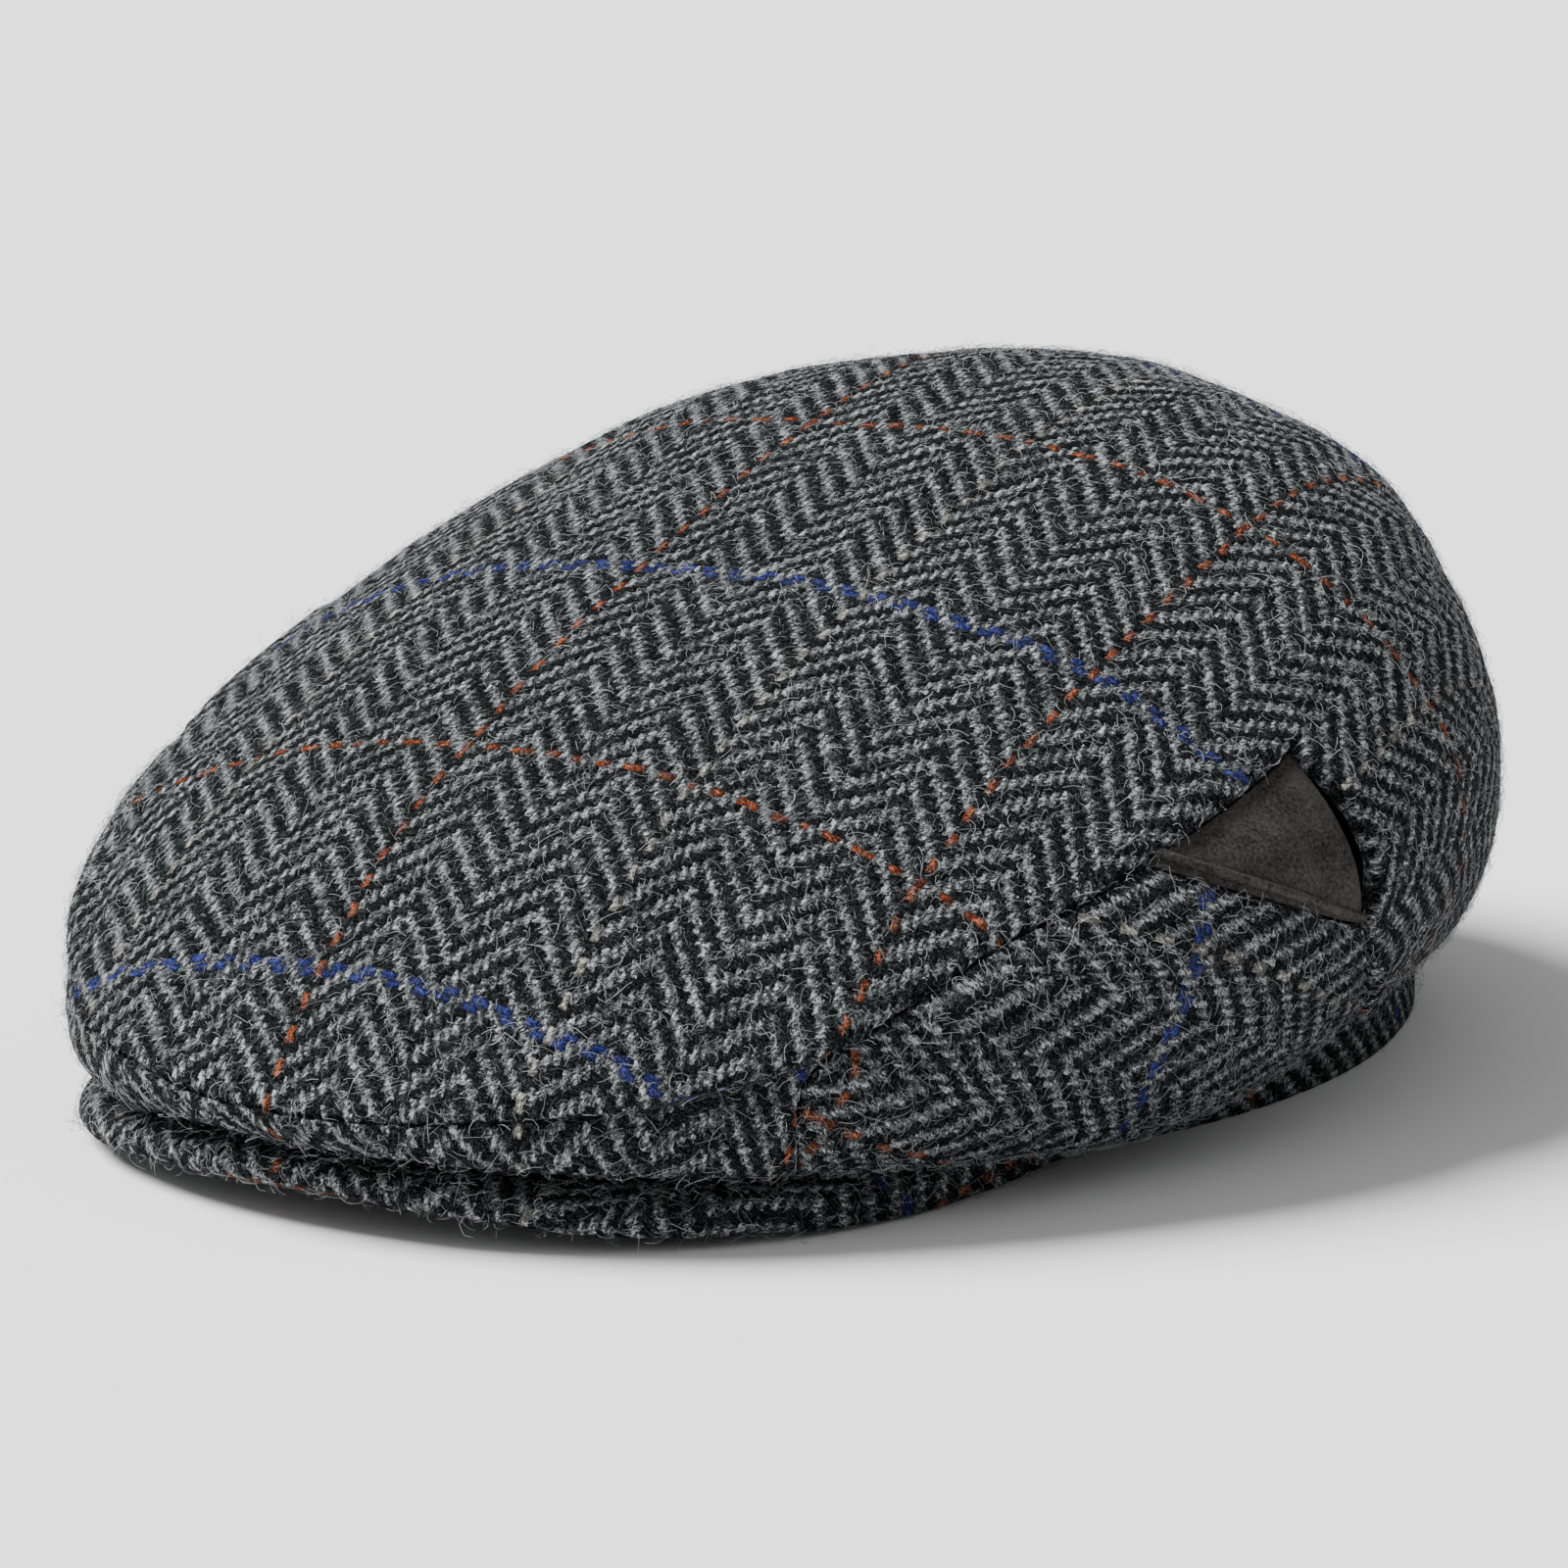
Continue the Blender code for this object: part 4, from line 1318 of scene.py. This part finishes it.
class FlatCapFibres(bpy.types.PropertyGroup):
    count: IntProperty(name="Hairs a piece", description="Loose hairs in each crown piece",
                       default=7300, min=1)
    shortest: length("Shortest", "Length of the shortest hair", 0.0016)
    longest: length("Longest", "Length of the longest hair", 0.0056)
    thickness: length("Thickness", "Width of a hair", 0.00006)
    curl: length("Curl", "Radius of an average curl", 0.0006)
    lift: length("Lift", "How high an average hair stands", 0.0009)
    seed: IntProperty(name="Seed", description="Start of the random places", default=11)
    low: colour("Dark hair", "Darkest loose hair", "2a2d2e")
    high: colour("Light hair", "Lightest loose hair", "c4c8ca")


class FlatCapLeather(bpy.types.PropertyGroup):
    low: colour("Suede, low", "Suede where the nap lies open", "181716")
    high: colour("Suede, high", "Suede on its nap", "4f4c49")
    grain: length("Grain", "Height of the nap", 0.00070)
    piping: length("Piping", "Width of the folded strip below the gusset", 0.0015)


class FlatCapShape(bpy.types.PropertyGroup):
    edge_round: length("Edge rounding", "Radius of a folded cloth edge", 0.0009)
    edge_lift: length("Edge lift", "How far the crown's sewn edge stands proud", 0.0009)
    seam_sink: length("Seam sink", "How far the cloth beside a seam lies back", 0.0009)
    crease_depth: length("Crease depth", "Step where the crown folds over the peak", 0.0011)
    crease_width: length("Crease width", "Width of that step", 0.0018)
    rim_tuck: length("Rim tuck", "How far the crown's rim draws in over the peak", 0.0016)
    dimple: length("Dimple", "Depth of the fold in a gusset", 0.0014)
    swell: length("Swell", "Height of the slow swells in worn cloth", 0.0007)


class FlatCapStage(bpy.types.PropertyGroup):
    floor_size: length("Floor size", "Length of each side of the floor", 14.0)
    floor_colour: colour("Floor", "Matt paper sweep", "f4f4f4")
    sky: FloatProperty(name="Sky", description="Strength of the even light", default=0.43, min=0.0)
    key: FloatProperty(name="Key", description="Strength of the overhead light", default=8.5,
                       min=0.0)
    softness: FloatProperty(name="Softness", description="How wide the overhead light looks",
                            default=np.radians(32), subtype="ANGLE", min=0.0)


class FlatCapSettings(bpy.types.PropertyGroup):
    cloth: PointerProperty(type=FlatCapCloth)
    fibres: PointerProperty(type=FlatCapFibres)
    leather: PointerProperty(type=FlatCapLeather)
    shape: PointerProperty(type=FlatCapShape)
    stage: PointerProperty(type=FlatCapStage)


class FLATCAP_OT_crown_top(bpy.types.Operator):
    """Makes the one-piece top panel"""

    bl_idname = "flat_cap.crown_top"
    bl_label = "Crown top"

    def execute(self, context):
        shape = context.scene.flat_cap.shape
        shell = Sheet(crown_top_grids()).wall(CLOTH_WALL, crown_relief, shape, crown_place)
        make_piece("crown_top_wool", shell, "herringbone_wool", "crown_top")
        return {"FINISHED"}


class FLATCAP_OT_side_panels(bpy.types.Operator):
    """Makes the wedge panels low on each side"""

    bl_idname = "flat_cap.side_panels"
    bl_label = "Side panels"

    def execute(self, context):
        shape = context.scene.flat_cap.shape
        shell = Sheet(side_panel_grids()).wall(CLOTH_WALL, side_panel_relief, shape, panel_place)
        make_pair("side_panel_{}_wool", shell, "herringbone_wool", "side_panel_{}")
        return {"FINISHED"}


class FLATCAP_OT_gussets(bpy.types.Operator):
    """Makes the suede triangles behind the ears and the folded strips along their lower edges"""

    bl_idname = "flat_cap.gussets"
    bl_label = "Gussets"

    def execute(self, context):
        caps = context.scene.flat_cap
        shell = Sheet(gusset_grids()).wall(GUSSET_WALL, gusset_relief, caps.shape, cloth_place,
                                           recess=GAP)
        piping = piping_shell(caps.leather.piping)
        make_pair("gusset_{}_suede", shell, "brown_suede", "gusset_{}")
        make_pair("gusset_{}_piping", piping, "brown_suede")
        return {"FINISHED"}


class FLATCAP_OT_peak(bpy.types.Operator):
    """Makes the stiff peak in its cloth cover"""

    bl_idname = "flat_cap.peak"
    bl_label = "Peak"

    def execute(self, context):
        shell = peak_shell(context.scene.flat_cap.shape)
        make_piece("peak_wool", shell, "herringbone_wool", "peak")
        return {"FINISHED"}


class FLATCAP_OT_band(bpy.types.Operator):
    """Makes the head band"""

    bl_idname = "flat_cap.band"
    bl_label = "Band"

    def execute(self, context):
        make_piece("band_wool", band_shell(), "herringbone_wool", "band")
        return {"FINISHED"}


Growth = namedtuple("Growth", "name wearer share slot")
# share is a share of the hairs of one crown piece
GROWTHS = (
    Growth("crown_fibres_1", "crown_top_wool", 1.0, "crown_cloth"),
    Growth("crown_fibres_2", "crown_top_wool", 1.0, "crown_cloth"),
    Growth("crown_fibres_3", "crown_top_wool", 1.0, "crown_cloth"),
    Growth("side_fibres_left", "side_panel_left_wool", 0.34, "side_cloth"),
    Growth("side_fibres_right", "side_panel_right_wool", 0.34, "side_cloth"),
    Growth("peak_fibres", "peak_wool", 0.22, "peak_cloth"),
    Growth("band_fibres", "band_wool", 0.22, "band_cloth"),
)


class FLATCAP_OT_fibres(bpy.types.Operator):
    """Grows the loose hairs of the wool"""

    bl_idname = "flat_cap.fibres"
    bl_label = "Loose hairs"

    def execute(self, context):
        fibres = context.scene.flat_cap.fibres
        for number, growth in enumerate(GROWTHS):
            grow_fibres(growth, fibres, fibres.seed + number)
        return {"FINISHED"}


# The photograph's view: angles round and above the cap, its distance and width of view, and how
# far its middle lies to the right of and above a point over the hub
VIEW_AZIMUTH = 33.78
VIEW_ELEVATION = 11.72
VIEW_DISTANCE = 0.9119
VIEW_WIDTH = 15.77
VIEW_HEIGHT = 0.0450
VIEW_RIGHT = -0.00284
VIEW_UP = -0.00341
# Where the key light comes from, as shares to the camera's right, up and towards it
KEY_FROM = (-0.75, 1.00, -0.10)


class FLATCAP_OT_stage(bpy.types.Operator):
    """Makes the floor, the soft light and the camera"""

    bl_idname = "flat_cap.stage"
    bl_label = "Stage"

    def execute(self, context):
        stage = context.scene.flat_cap.stage
        half = stage.floor_size / 2
        mesh = bpy.data.meshes.new("floor")
        corners = [(-half, -half, 0), (half, -half, 0), (half, half, 0), (-half, half, 0)]
        mesh.from_pydata(corners, [], [(0, 1, 2, 3)])
        paper, _, shader = new_material("matt_white_paper", roughness=1.0, specular=0.0)
        shader["Base Color"].default_value = (*stage.floor_colour, 1.0)
        mesh.materials.append(paper)
        set_down("floor", mesh)

        azimuth, elevation = np.radians((VIEW_AZIMUTH, VIEW_ELEVATION))
        back = Vector((np.sin(azimuth) * np.cos(elevation), -np.cos(azimuth) * np.cos(elevation),
                       np.sin(elevation)))
        right = Vector((np.cos(azimuth), np.sin(azimuth), 0.0))
        up = back.cross(right)
        target = Vector((0.0, HUB_Y, VIEW_HEIGHT)) + right * VIEW_RIGHT + up * VIEW_UP
        data = bpy.data.cameras.new("camera")
        data.sensor_fit = "HORIZONTAL"
        data.angle = np.radians(VIEW_WIDTH)
        camera = set_down("camera", data)
        turn = Matrix((right, up, back)).transposed().to_4x4()
        camera.matrix_world = Matrix.Translation(target + back * VIEW_DISTANCE) @ turn
        context.scene.camera = camera

        world = context.scene.world or bpy.data.worlds.new("sky")
        context.scene.world = world
        world.use_nodes = True
        sky = world.node_tree.nodes["Background"]
        sky.inputs["Color"].default_value = (1.0, 1.0, 1.0, 1.0)
        sky.inputs["Strength"].default_value = stage.sky
        sun = bpy.data.lights.new("key", "SUN")
        sun.energy = stage.key
        sun.angle = stage.softness
        source = right * KEY_FROM[0] + up * KEY_FROM[1] + back * KEY_FROM[2]
        set_down("key", sun).rotation_euler = source.to_track_quat("Z", "Y").to_euler()
        return {"FINISHED"}


class FLATCAP_PT_panel(bpy.types.Panel):
    """Lists the steps that make the cap"""

    bl_idname = "FLATCAP_PT_panel"
    bl_label = "Flat Cap"
    bl_space_type = "VIEW_3D"
    bl_region_type = "UI"
    bl_category = "Flat Cap"

    def draw(self, context):
        caps = context.scene.flat_cap
        for step in STEPS:
            self.layout.operator(step.bl_idname)
        for group in (caps.cloth, caps.fibres, caps.leather, caps.shape, caps.stage):
            box = self.layout.box()
            for name in group.__annotations__:
                box.prop(group, name)


STEPS = (
    FLATCAP_OT_crown_top,
    FLATCAP_OT_side_panels,
    FLATCAP_OT_gussets,
    FLATCAP_OT_peak,
    FLATCAP_OT_band,
    FLATCAP_OT_fibres,
    FLATCAP_OT_stage,
)

CLASSES = (
    FlatCapCloth,
    FlatCapFibres,
    FlatCapLeather,
    FlatCapShape,
    FlatCapStage,
    FlatCapSettings,
    *STEPS,
    FLATCAP_PT_panel,
)


def register():
    for item in CLASSES:
        bpy.utils.register_class(item)
    bpy.types.Scene.flat_cap = PointerProperty(type=FlatCapSettings)


def unregister():
    del bpy.types.Scene.flat_cap
    for item in reversed(CLASSES):
        bpy.utils.unregister_class(item)


def main():
    register()
    for step in STEPS:
        group, name = step.bl_idname.split(".")
        getattr(getattr(bpy.ops, group), name)()


if __name__ == "__main__":
    main()
